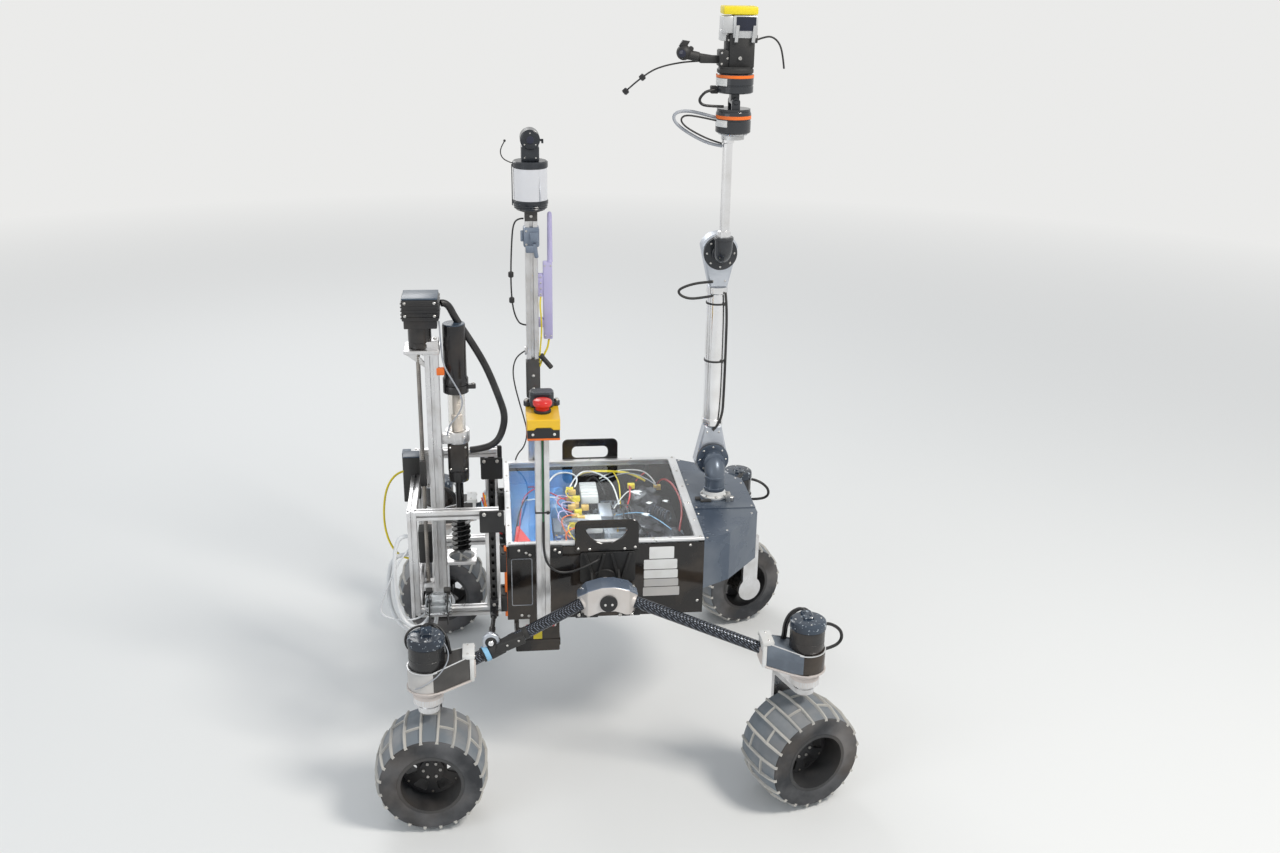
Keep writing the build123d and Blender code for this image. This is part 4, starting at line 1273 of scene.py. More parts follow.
def makeStop():
    x, (near, far), (low, high) = stop["x"], stop["y"], stop["z"]
    half = stop["half"]
    yellow, black, sensor = blanks(3)
    # Front view with the black part's curved edge cut out below
    cut = [
        (x - half, low + 22), (x - 20, low + 22), (x - 14, low + 27), (x + 14, low + 27), (x + 20, low + 22),
        (x + half, low + 22)
    ]
    addPlate(yellow, [cut + [(x + half, high), (x - half, high)]], -far, -near - 0.5, 2, onRight)
    inset = [(px * 0.97 + x * 0.03, pz) for px, pz in reversed(cut)]
    lower = [(x - half + 1, low + 4), (x + half - 1, low + 4)] + inset
    addPlate(black, [lower], -far, -near - 1.5, 1, onRight)
    finishPiece("stopBoxYellow", yellow, "stop_yellow", replaced=["estop_box"])
    bx, by = stop["button"]
    addRod(black, (bx, by, high), (bx, by, high + 6), 18, 1)
    # Sensor bar behind the button, with its two ears
    addPlate(sensor, [rounded((bx - 25, bx + 25), (far - 30, far + 8), 10)], high, high + 33, 3)
    addPlate(sensor, [rounded((bx - 38, bx + 38), (far - 16, far + 6), 8)], high, high + 9, 1)
    finishPiece("stopSensor", sensor, "sensor_black")
    finishPiece("stopBoxBlack", black, "matt_black")
    finishBoxes(
        "stopBase", "orange", ((x - half + 0.5, near + 1, low), (x + half - 0.5, far - 1, low + 4.5), 1)
    )
    button = bmesh.new()
    addTurned(button, [
        (0, 15), (9, 14), (13, 16), (16, 19.4), (19, 20), (23, 20), (26, 18), (28, 13), (28, 0)
    ], (bx, by, high), (bx, by, high + 28), 48)
    finishPiece("stopButton", button, "stop_red", replaced=["estop_button"])
    screw("cap", up, 5, (bx - 31, far - 5, high + 9), (bx + 31, far - 5, high + 9))
    fasten(
        "chassis", "dome", "white", right, 3, (x - 22, near + 1.5, low + 13), (x + 22, near + 1.5, low + 13)
    )
    # Tie round the post
    tie = bmesh.new()
    addPlate(tie, [
        rounded((post["x"] - 16.2, post["x"] + 16.2), (-post["y"] - 16.2, -post["y"] + 16.2), 2),
        rounded((post["x"] - 15.1, post["x"] + 15.1), (-post["y"] - 15.1, -post["y"] + 15.1), 1.6)
    ], 640, 643.5, 0.3)
    addBox(tie, (post["x"] + 8, -post["y"] - 19, 639), (post["x"] + 14, -post["y"] - 15, 645), 0.6)
    finishPiece("postTie", tie, "rubber")
    wire = bmesh.new()
    addWire(wire, [(-153, -270.5, 824), (-153, -271, 700), (-153, -272, 619)], 2.2)
    finishPiece("postWire", wire, "green")


makeStop()
# From the post's wire down to the panel, on the source's own points
makeCord("stopCable", [
    (-153, -272, 620), (-153, -272.5, 588), (-153, -279, 558), (-149, -285, 532), (-135, -289, 513),
    (-114, -288, 504), (-90, -283, 504), (-66, -276, 510), (-46, -269, 516), (-30, -259, 520),
    (-30, -243, 520)
], 5, "cable_rubber", replaced=["cables"])
print("stop")

# Mast on the far side
mast = {"x": post["x"], "y": post["y"], "sensor": 1188, "window": (1210, 1284), "head": 1300, "drum": 1350}


def makeMast():
    x, y, base, head, drum = [mast[key] for key in ("x", "y", "sensor", "head", "drum")]
    low, high = mast["window"]
    black, slate = blanks(2)
    # Splice: plates on all four sides, bolted from the near one
    for side in (-1, 1):
        addBox(black, (x - 15, y + side * 17.5 - 2.5, 722), (x + 15, y + side * 17.5 + 2.5, 820), 1)
        addBox(black, (x + side * 16 - 1, y - 15, 722), (x + side * 16 + 1, y + 15, 812), 0.6)
    screw("dome", right, 4, *[(x, y - 20, z) for z in (745, 779)])
    # Neck under the sensor
    addBox(black, (x - 15, y - 15, 1160), (x + 15, y + 15, 1182), 2)
    addTurned(black, [(0, 14), (2, 24), (6, 34), (8, 34)], (x, y, 1180), (x, y, base), 40)
    finishPiece("mastClamps", black, "printed_dark", replaced=["mast_clamps"])
    screw("cap", right, 3.6, (x, y - 15, 1172))
    # Grey clamp below it with its hanging plugs
    addBox(slate, (x - 19, y - 20, 1098), (x + 19, y + 19, 1146), 5)
    addBox(slate, (x - 4, y - 27, 1112), (x + 16, y - 19, 1136), 3)
    addBox(slate, (x - 14, y - 25, 1086), (x + 6, y - 17, 1104), 3)
    addRod(slate, (x + 6, y - 20, 1108), (x + 12, y - 22, 1074), 5, 1.5, 16)
    addRod(slate, (x - 22, y - 12, 1112), (x - 22, y - 12, 1138), 3.5, 1, 14)
    finishPiece("mastGrip", slate, "slate")
    screw("cap", right, 2.6, (x - 12, y - 20, 1106), (x - 12, y - 20, 1138))
    body = bmesh.new()
    addTurned(body, [
        (0, 36), (3, 39.5), (5, 38.5), (8, 40.5), (10, 39.5), (13, 41.5), (20, 41.5), (22, 39)
    ], (x, y, base), (x, y, low), 56)
    addTurned(body, [(0, 39), (2, 41.5), (13, 41.5), (16, 38), (16, 0)], (x, y, high), (x, y, head), 56)
    addRod(body, (x - 42.6, y - 4, 1196), (x - 42.6, y - 4, 1292), 1.2, 0.3, 8)
    finishPiece("lidarBody", body, "sensor_black", replaced=["lidar_body"])
    window = bmesh.new()
    addTurned(window, [(0, 40), (high - low, 40)], (x, y, low), (x, y, high), 64)
    finishPiece("lidarWindow", window, "sensor_window", replaced=["lidar_window"])
    # Camera head: a box with a drum across it
    camera = bmesh.new()
    addBox(camera, (x - 21, y - 21, head), (x + 21, y + 21, 1334), 3)
    addTurned(camera, [(0, 20), (2, 23), (50, 23), (52, 20)], (x, y - 26, drum), (x, y + 26, drum), 40)
    addBox(camera, (x + 20, y - 18, 1346), (x + 30, y - 12, 1351), 1)
    addBox(camera, (x + 26, y - 18, 1341), (x + 31, y - 12, 1351), 1)
    finishPiece("mastCamera", camera, "sensor_black", replaced=["mast_camera"])
    lens = bmesh.new()
    addTurned(lens, [(0, 8), (2, 9), (3, 8), (3.5, 4), (3.6, 0)], (x, y - 26, drum), (x, y - 30, drum), 32)
    finishPiece("mastLens", lens, "lens")
    screw("dome", right, 1.8, *[(x + dx, y - 26, drum + dz) for dx, dz in ((-13, -11), (13, -11), (0, 15))])
    screw("dome", right, 2, *[(x + dx, y - 21, 1308) for dx in (-13, 13)])
    # Radio
    box = bmesh.new()
    addBox(box, (-127, y - 12, 870), (-105, y + 12, 1060), 2.5)
    addBox(box, (-139, y - 10, 976), (-127, y + 10, 1030), 1)
    addBox(box, (-139, y - 10, 900), (-127, y + 10, 920), 1)
    addTurned(
        box, [(0, 7), (3, 7), (4, 6.5), (112, 5.6), (118, 4.5), (120, 2)], (-110, y, 1060), (-110, y, 1180),
        24
    )
    finishPiece("radioCase", box, "radio_lilac", replaced=["radio"])
    screw(
        "dome", right, 2.2, *[(cx, y - 12, z) for cx in (-123, -109) for z in (878, 1052)],
        *[(-133, y - 10, z) for z in (982, 996, 1010, 1024)]
    )
    # Knobs on the hanging lead, whip beside the head, plug behind the splice
    rod = bmesh.new()
    for px, z in ((-203.6, 1029), (-202.6, 966)):
        addRod(rod, (px, y, z - 7), (px, y, z + 7), 6.5, 2, 20)
    addWire(rod, [
        (-190, y - 6, 1293), (-203, y - 8, 1297), (-218, y - 10, 1306), (-223, y - 10, 1320),
        (-219, y - 10, 1334), (-212, y - 10, 1345)
    ], 1.3)
    addBall(rod, (-212, y - 10, 1346), 3, 14)
    addRod(rod, (-132, y - 18, 827), (-109, y - 20, 799), 6, 1.4, 20)
    addRod(rod, (-136, y - 18, 832), (-131, y - 18, 826), 7.2, 1, 20)
    finishPiece("mastKnobs", rod, "rubber")
    finishBoxes("mastClip", "aluminium", ((x - 20, y - 18, 833), (x - 15, y - 4, 852), 1))


makeMast()
makeCord("mastCableLoop", [
    (-171, 260, 1164), (-185, 260, 1164), (-196, 260, 1150), (-200, 260, 1112), (-203, 260, 1055),
    (-204, 260, 1000), (-201, 260, 950), (-193, 260, 920), (-181, 260, 903), (-163, 260, 903)
], 4, "cable_rubber", replaced=["cables"])
makeCord("radioCable", [
    (-114, 256, 870), (-116, 252, 852), (-124, 250, 836), (-132, 246, 820), (-138, 244, 802)
], 5, "yellow")
makeCord("radioFeed", [
    (-133, 252, 976), (-136, 246, 960), (-133, 242, 930), (-132, 242, 892), (-136, 242, 850), (-139, 243, 812)
], 4, "yellow")
makeCord("mastSensorCable", [
    (-172, 248, 842), (-186, 250, 833), (-198, 250, 818), (-204, 250, 792), (-201, 250, 758),
    (-190, 250, 710), (-180, 250, 672), (-170, 250, 630), (-178, 250, 590), (-198, 247, 570), (-202, 240, 557)
], 3.5, "rubber")
print("mast")

# Rockers: clamps, tube ends and the steering units
pivot = {"x": -18, "z": 455, "near": 297, "far": 343, "disc": 19}
tube = {"start": (45, 322, 452), "end": (62, 404, 349)}


def tubePoint(way, side, share):
    start = Vector((pivot["x"] + way * tube["start"][0], side * tube["start"][1], tube["start"][2]))
    end = Vector((way * (wheel["x"] - tube["end"][0]), side * tube["end"][1], tube["end"][2]))
    return start + (end - start) * share


def makePivots():
    x, z, near, far = pivot["x"], pivot["z"], pivot["near"], pivot["far"]
    block, cover, black = blanks(3)
    crest = [(-65, 8), (-46, 28), (-14, 37), (14, 37), (46, 28), (65, 8)]
    outline = [(x + px, z + pz) for px, pz in [
        (-65, -30), *crest, (65, -30), (38, -30), (16, -21), (-16, -21), (-38, -30)
    ]]
    ends = [((x + way * 65, z, 321), (way * 22, 0, 20)) for way in (1, -1)]  # the end faces slant back
    addPlate(block, [outline], near, far, 1.2, onRight, ends)
    # Dark covers lie on the facets of its top
    line = [(x + px * 1.005, z + pz + 0.8) for px, pz in crest]
    over = [(spot[0] + 0.6 * away[0] / 30, spot[1], spot[2] + 0.6) for spot, away in ends]
    addPlate(
        cover, [line + [(px, pz - 3) for px, pz in reversed(line)]], near - 2, far - 0.6, 0.5, onRight,
        [(spot, away) for spot, (_, away) in zip(over, ends)]
    )
    for way in (1, -1):
        addRod(block, tubePoint(way, -1, -0.02), tubePoint(way, -1, 0.045), 15.5, 1.2)
        addBox(black, (x + way * 22, -far + 8, z - 37), (x + way * 56, -far + 34, z - 26), 1.5)
        addBox(black, (x + way * 56, -far + 14, z - 40), (x + way * 70, -far + 34, z - 24), 1.5)
    addRod(block, (x, -near, z), (x, -panel["y"], z), 16)
    addRod(black, (x, -panel["y"], z), (x, -panel["y"] - 8, z), 34)
    addRod(black, (x, -far, z), (x, -far - 5, z), pivot["disc"])
    web = [(panel["y"], z - 30), (near, z - 16), (near, z + 10), (panel["y"], z + 34)]
    for dx in (-30, 30):  # webs behind the clamp
        addPlate(black, [web], x + dx - 2.5, x + dx + 2.5, 0.6, onWeb)
    for bm in (block, cover, black):
        addMirror(bm)
    finishPiece("pivotClamps", block, "clamp_warm", replaced=["pivot_brackets"], corner=25)
    finishPiece("pivotCovers", cover, "slate", corner=15)
    finishPiece("pivotDiscs", black, "matt_black")
    for side, way in ((-1, right), (1, left)):
        y = side * far
        fasten(
            "chassis", "dome", "white", way, 2.9, (x - 7.5, y + side * 4.6, z - 2),
            (x + 7.5, y + side * 4.6, z - 2)
        )
        screw(
            "cap", way, 3.8, *[(x + dx, y - side * 8, z - 32) for dx in (-43, 26, 51)],
            (x - 63, y - side * 14, z - 32)
        )
        for dx in (-1, 1):
            screw("cap", (dx * 0.7, 0, 0.7), 3.6, (x + dx * 56, side * 306, z + 19))


steering = {"can": 37.5, "lid": 39.2, "ring": 41, "low": 324, "reach": 88, "lip": 3}


def addWedge(bm, x, way, grow, rows):
    # Narrows from the ring to the tube; rows: distance towards the pivot, low and high edge there
    reach, y = steering["reach"] + grow, -wheel["y"]
    part = bmesh.new()
    spots = []
    for distance, low, high in rows:
        near, far = y - 44.8 - grow + 36.8 * distance / reach, y + 38 + grow
        section = ((near, low), (far, low), (far, high), (near, high))
        spots.append([(x - way * distance, py, z) for py, z in section])
    addSkin(part, spots)
    sharp = [e for e in part.edges if e.calc_face_angle(0) > 0.8]
    bmesh.ops.bevel(part, geom=sharp, offset=0.9, segments=1, affect="EDGES")
    addPart(bm, part)


def addOnBoth(kind, finish, direction, radius, *places):
    # Fasteners on the chassis, the same on the rover's left too
    for way in (1, -1):
        across = (direction[0], way * direction[1], direction[2])
        fasten("chassis", kind, finish, across, radius, *[(px, way * py, pz) for px, py, pz in places])


def makeSteeringUnits():
    made = defaultdict(bmesh.new)
    y, low, reach, lip = -wheel["y"], steering["low"], steering["reach"], steering["lip"]
    can, wide, ringWide = steering["can"], steering["lid"], steering["ring"]
    for way in (1, -1):
        x = way * wheel["x"]
        turned = lambda key, profile: addUpright(made[key], profile, x, y, 56)
        turned("can", [
            (368, can - 0.5), (369, can), (392, can), (392.6, can - 0.5), (394, can - 0.5), (394.6, can),
            (420, can), (420, can - 1), (422, can - 1)
        ])
        turned("lid", [
            (421, can - 1), (421.6, wide), (433, wide), (437, wide - 1.4), (439.4, wide - 4.5),
            (440, wide - 8), (440, 0)
        ])
        addPlate(made["lid"], [rounded((x - 12, x + 12), (y - 6, y + 30), 5)], 438, 445.5, 2)
        addRod(made["lid"], (x - 6, y + 18, 445), (x - 6, y + 18, 447.5), 3.4, 0.6, 16)
        addRod(made["lid"], (x + 5, y + 6, 445), (x + 5, y + 6, 447), 2.6, 0.6, 16)
        # Front rings are drawn glossy black as painted shade, rear rings grey as their lit side: painted
        # light and shade on one printed ring
        shade = "ringFront" if way > 0 else "ringRear"
        profile = [
            (low, ringWide - 2), (low + 0.6, ringWide), (368.6, ringWide), (370, ringWide - 0.8),
            (370, can + 0.3), (low, can + 0.3)
        ]
        addUpright(made[shade], profile, x, y, 64, closed=True)
        # The front boxes get a bluish finish as a painted sky reflection on their facets; the rear boxes stay
        # plain dark print
        side = [(13, low + 0.2, 369), (34, low + 0.2, 374.5), (reach, low + 10, 388)]
        addWedge(made["boxFront" if way > 0 else "boxRear"], x, way, 0, side)
        addWedge(
            made["flange"], x, way, lip,
            [(0, low - 4, low), (34, low - 4, low), (reach + lip, low + 6, low + 10)]
        )
        turned("flange", [
            (low - 4, ringWide + lip - 1), (low - 3.4, ringWide + lip), (low - 0.6, ringWide + lip),
            (low, ringWide + lip - 1), (low, 0)
        ])
        turned("boss", [
            (286, 0), (286, 30.5), (287.5, 32), (307, 32), (307.8, 31.2), (309.4, 31.2), (310.2, 32),
            (320, 32)
        ])
        # Silver rim and thin rods along the upper edges: a painted edge highlight
        addTurned(made["rim"], [
            (368.8, ringWide + 0.1), (368.8, ringWide + 0.9), (371, ringWide + 0.9), (371, ringWide - 1.2)
        ], (x, y, 0), (x, y, 1), 64, closed=True)
        for py, end in ((y - 38.2, y - 9), (y + 37.4, y + 37.4)):
            addRod(made["rim"], (x - way * 13, py, 370.2), (x - way * 86, end, 388.2), 1.3, 0.3, 8)
        # Two-part clamp across the open end
        for key, near, far, (y0, y1), (z0, z1), edge in (
            ("clamp", 88, 97, (-10, 41), (low + 6, low + 64), 1.6),
            ("clamp", 73, 98.5, (-11, 42), (383, 393), 1.6),
            ("flange", 96.5, 100, (-5, 36), (low + 12, low + 44), 1)
        ):
            x0, x1 = sorted((x - way * near, x - way * far))
            addBox(made[key], (x0, y + y0, z0), (x1, y + y1, z1), edge)
        addRod(made["collar"], tubePoint(way, -1, 0.90), tubePoint(way, -1, 0.96), 16, 1)
        addOnBoth("dome", "steel", (-way, 0, 0), 2.8, *[(x - way * 98.5, y + dy, 388) for dy in (-4, 35)])
        addOnBoth("dome", "steel", up, 2.6, (x - way * 84, y - 3, 393), (x - way * 84, y + 34, 393))
        addOnBoth("dome", "white", up, 1.9, *[(x + dx, y + dy, 440) for dx, dy in ring(0, 0, 28, 4)])
        # Outer loop of hose: from under the lid to the ring at the front, over the lid's back at the rear
        if way > 0:
            loop = [
                (x + 36, y + 16, 417), (x + 48, y + 20, 416), (x + 68, y + 24, 406), (x + 83, y + 26, 390),
                (x + 84, y + 24, 370), (x + 66, y + 18, 358), (x + 40, y + 12, 356)
            ]
        else:
            loop = [
                (x + 2, y + 26, 444), (x - 8, y + 30, 446), (x - 22, y + 27, 445), (x - 34, y + 20, 441),
                (x - 42, y + 10, 433), (x - 42.5, y + 2, 420), (x - 37, y, 410)
            ]
        addWire(made["loop"], loop, 3.6 if way > 0 else 2.4, 4)
    for bm in made.values():
        addMirror(bm)
    # Here the front rings' black and the rear rings' grey are painted shade and painted light, the front
    # boxes' bluish finish is a painted sky reflection, and the silver rim is a painted edge highlight
    for key, finish, replaced in (
        ("can", "motor_black", ["steering_motors"]), ("lid", "lid_gloss", []),
        ("ringRear", "printed_grey", ["steering_holders"]), ("ringFront", "body_black", []),
        ("boxRear", "printed_dark", []), ("boxFront", "housing_sky_sheen", []), ("flange", "flange_pale", []),
        ("boss", "flange_pale", []), ("rim", "lid_silver", []), ("clamp", "white", []),
        ("collar", "matt_black", []), ("loop", "cable_rubber", [])
    ):
        finishPiece("steering_" + key, made[key], finish, replaced=replaced, corner=30)
    route = [
        (0, 30, 440.6), (0, 41, 440.6), (-9, 51, 438), (-24, 52, 430), (-36, 46, 418), (-43, 37, 404),
        (-45.5, 29, 388), (-48, 29, 378)
    ]
    beside = [
        (7, 28, 441), (6, 41, 441), (-4, 50, 438), (-19, 50, 430), (-30, 44, 418), (-37, 38, 404),
        (-39.5, 32, 390), (-41, 31, 377)
    ]
    for corner in corners:
        way, side = corner["way"], corner["side"]
        x = way * wheel["x"]
        place = lambda points: [(x + way * out, side * (wheel["y"] - inward), z) for out, inward, z in points]
        makeCord("steerCable_" + corner["name"], place(route), 7, "cable_rubber", replaced=["cables"])
        makeCord("steerCableTwin_" + corner["name"], place(beside), 6, "cable_rubber")
        wire = [
            (-37, -8, 424), (-43, -10, 414), (-46, -14, 398), (-42, -24, 384), (-24, -40, 364), (0, -45, 350),
            (16, -43, 340), (24, -36, 334)
        ]
        if way < 0:
            makeCord("sensorWire_" + corner["name"], place(wire), 2.6, "cable_grey")


def makeTubeJoints():
    black, grey, blue, links = blanks(4)
    middle = tubePoint(-1, -1, 0.76)
    x, y, z = middle
    eye = Vector((x + 4, y, z + 25))
    addRod(black, tubePoint(-1, -1, 0.655), tubePoint(-1, -1, 0.762), 18, 1.5)
    addRod(blue, tubePoint(-1, -1, 0.764), tubePoint(-1, -1, 0.80), 17.4, 1)
    addRod(black, tubePoint(-1, -1, 0.801), tubePoint(-1, -1, 0.815), 16, 0.8)
    for low, high in ((0.47, 0.50), (0.56, 0.60)):  # tape
        addRod(black, tubePoint(-1, -1, low), tubePoint(-1, -1, high), 13.6, 0.3)
    # Round ear with the bolt of the link, and the black clamp beside it
    ear = arc(eye.x, eye.z + 2, 18.5, -20, 200, 16) + [(x - 16, z + 4), (x + 22, z + 4)]
    addPlate(grey, [ear], -y - 5, -y + 6, 1.6, onRight)
    addRod(black, (eye.x, y, eye.z), (eye.x, y - 6.4, eye.z), 12.5, 0.5, 32)
    shoulder = [
        (x + 10, z + 3), (x + 17, z + 22), (x + 30, z + 27), (x + 72, z + 42), (x + 76, z + 24),
        (x + 40, z + 8)
    ]
    addPlate(black, [shoulder], -y - 9, -y + 15, 1.6, onRight)
    for bm in (black, grey, blue):
        addMirror(bm)
    # The link up to the frame's lower corner; only the near one is seen
    high = Vector((-262, -280, 412))
    start = Vector((eye.x, y + 4, eye.z))
    addRod(links, start, high, 4.8, 0.6, 24)
    addRod(links, start, start + (high - start) * 0.42, 7, 1.2, 24)
    addRod(links, start + (high - start) * 0.8, high, 7, 1.2, 24)
    addBox(links, (-271, -282, 400), (-253, -268.1, 440), 1.6)
    addBox(links, (-269, -285, 426), (-255, -281, 438), 1)
    finishPiece("linkClamps", black, "matt_black")
    finishPiece("linkEars", grey, "bare_metal", replaced=["tube_joints"])
    finishPiece("linkCollars", blue, "light_blue")
    finishPiece("linkRod", links, "motor_black")
    addOnBoth("cap", "polished", right, 6.2, (eye.x, y - 6.4, eye.z))
    addOnBoth("dome", "steel", right, 2.6, (x + 38, y - 15, z + 21), (x + 62, y - 15, z + 31))
    screw("cap", right, 3.4, (-262, -285, 432), (-262, -282, 408))


makePivots()
makeSteeringUnits()
makeTubeJoints()
print("rockers")

# Under the body: battery with its leads
def makeBattery():
    red = bmesh.new()
    bands = [((-217.5, -201.5, z - 8), (-114.5, -58.5, z + 8), 1) for z in (285, 345)]
    blocks = []
    for x in (-196, -136):
        blocks += [
            ((x - 12, -206, 328), (x + 12, -200, 350), 2), ((x - 12, -204, 352), (x + 12, -190, 362), 2)
        ]
    addWire(red, [(-190, -206, 335), (-185, -214, 318), (-172, -212, 310), (-168, -206, 318)], 2)
    addWire(red, [(-140, -206, 340), (-130, -216, 330), (-128, -214, 350), (-136, -200, 366)], 2)
    finishBoxes(
        "batteryCase", "body_black", ((-216, -200, 262), (-116, -60, 370), 3), *bands,
        replaced=["battery_box"]
    )
    finishBoxes("batteryPatch", "yellow", ((-176, -204, 296), (-156, -200, 326), 1))
    finishBoxes("batteryPlugs", "white", *blocks)
    finishPiece("batteryLeads", red, "red")


makeBattery()

# Drill
drill = {"x": -334, "y": -58, "sleeve": (755, 844), "motor": (862, 998)}
lift = {
    "x": -406, "y": -80, "screwX": -412, "screwLow": 392, "screwTurns": 118, "flange": 956,
    "gear": (1004, 1022)
}


def makeLift():
    x, y, screwX, low, flange = [lift[key] for key in ("x", "y", "screwX", "screwLow", "flange")]
    high, (gearLow, gearHigh) = column["high"], lift["gear"]
    black, silver = blanks(2)
    addTurned(
        black, [(0, 23), (2, 25), (10, 25), (11, 24), (13, 24), (14, 25), (48, 25)], (x, y, flange),
        (x, y, gearLow), 40
    )
    addBox(black, (-437, -114, gearLow), (-367, -46, gearHigh), 2)
    addBox(black, (-440, -118, gearHigh), (-363, -42, 1068), 2)
    for n in range(5):  # cooling fins on all four sides
        z = 1028 + 8 * n
        addBox(black, (-442, -120, z), (-361, -40, z + 3), 0.6)
    addPlate(silver, [rounded((-440, -364), (-116, -44), 4)], high, flange, 1)
    addPlate(
        silver, [[(-440, 948), (-420, 948), (-396, 918), (-396, 908), (-440, 940)]], 78, 84, 0.8, onRight
    )
    addBox(silver, (-402, -100, 940), (-366, -60, 972), 2)
    addBox(silver, (-430, -94, 372), (-398, -66, 392), 1.5)
    finishPiece("liftMotor", black, "motor_black", "drill_carriage", replaced=["lift_motor"])
    finishBoxes("liftCap", "blue_cap", ((-439, -117, 1068), (-364, -43, 1072), 1.2), body="drill_carriage")
    finishPiece("columnEnds", silver, "aluminium", "drill_carriage", replaced=["column_plates"])
    fasten(
        "drill_carriage", "dome", "steel", right, 3.4, (-433, -120, 1062), (-371, -120, 1062),
        (-433, -120, 1034), (-371, -120, 1034)
    )
    fasten("drill_carriage", "cap", "steel", up, 3.4, (-395, -80, 972), (-374, -80, 972))
    thread = bmesh.new()
    profile, turns, length = [(0, 4)], lift["screwTurns"], high - low
    for n in range(turns):
        profile += [(length * (n + 0.25) / turns, 5), (length * (n + 0.75) / turns, 4.2)]
    addTurned(thread, profile + [(length, 4)], (screwX, y, low), (screwX, y, high), 14)
    finishPiece("leadScrew", thread, "screw_steel", "drill_carriage", replaced=["lead_screw"])
    finishBoxes("liftSwitch", "orange", ((-373, -98, 895), (-356, -86, 911), 1.5), body="drill_carriage")
    guide = bmesh.new()
    outline = rounded((-368, -300), (-95, -24), 4)
    addPlate(guide, [outline, ring(drill["x"], drill["y"], 29, 32)], 436, 444, 0.8)
    finishPiece("augerGuide", guide, "aluminium", "drill_carriage", replaced=["auger_guide"])


def makeDrill():
    x, y, (low, high), (base, top) = drill["x"], drill["y"], drill["sleeve"], drill["motor"]
    black, cap, silver, clear = blanks(4)
    addTurned(black, [
        (0, 25.5), (2, 28), (14, 28), (18, 25.5), (20, 25), (134, 25), (137, 24.4)
    ], (x, y, base), (x, y, top), 48)
    addTurned(black, [(0, 26), (1, 28), (16, 28), (18, 27)], (x, y, high), (x, y, base), 48)
    addBox(black, (x + 20, y - 8, 852), (x + 44, y + 4, base), 2)
    addTurned(cap, [(0, 24), (1.5, 24), (2.2, 23), (2.2, 0)], (x, y, top + 1), (x, y, top + 3.2), 40)
    finishPiece("drillMotor", black, "motor_black", "drill_slide", replaced=["drill_motor"])
    finishPiece("drillMotorCap", cap, "blue_cap", "drill_slide")
    fasten("drill_slide", "cap", "steel", up, 3.4, (x + 38, y - 2, base))
    addUpright(clear, [(low, 16), (low, 19), (high, 19), (high, 16)], x, y, 48, closed=True)
    finishPiece("clearSleeve", clear, "clear_tan", "drill_slide", replaced=["drill_tube"])
    core = bmesh.new()
    addUpright(core, [(low, 0), (low, 12), (790, 12), (792, 9), (high, 9), (high, 0)], x, y, 32)
    finishPiece("drillCore", core, "printed_grey", "drill_slide")
    addUpright(silver, [(728, 23), (728, 26), (731, 27), (752, 27), (low, 26), (low, 19.2)], x, y, 48)
    addBox(silver, (-367.5, -84, 730), (-330, -66, 753), 1.5)
    finishPiece("slideClamp", silver, "aluminium", "drill_slide")
    fasten("drill_slide", "cap", "steel", right, 3.4, (x - 18, y - 24, 745), (x + 14, y - 26, 745))
    gear = bmesh.new()
    addPlate(gear, [rounded((x - 23, x + 23), (y - 23, y + 23), 12)], 660, 728, 2)
    addUpright(gear, [(633, 18), (634, 22), (642, 23), (660, 23)], x, y, 40)
    finishPiece("drillGearbox", gear, "motor_black", "drill_slide", replaced=["drill_gearbox"])
    fasten(
        "drill_slide", "dome", "steel", right, 2.6,
        *[(x + dx, y - 23, z) for dx in (-17, 17) for z in (668, 720)]
    )


auger = {"flight": 22, "pitch": 12, "turns": 7, "low": 456, "thick": 3, "steps": 32}


def makeAuger():
    x, y = drill["x"], drill["y"]
    bm = bmesh.new()
    addUpright(bm, [(448, 2), (456, 9), (632.5, 9)], x, y, 32)
    rows = []
    for n in range(auger["turns"] * auger["steps"] + 1):
        turn, rise = 2 * math.pi * n / auger["steps"], auger["low"] + auger["pitch"] * n / auger["steps"]
        half = auger["thick"] / 2
        section = [
            (7.5, -half), (auger["flight"] - 1, -half), (auger["flight"], 0), (auger["flight"] - 1, half),
            (7.5, half)
        ]
        rows.append([(x + r * math.cos(turn), y + r * math.sin(turn), rise + h) for r, h in section])
    addSkin(bm, rows)
    finishPiece("augerFlight", bm, "auger_black", "auger_shaft", replaced=["auger"])


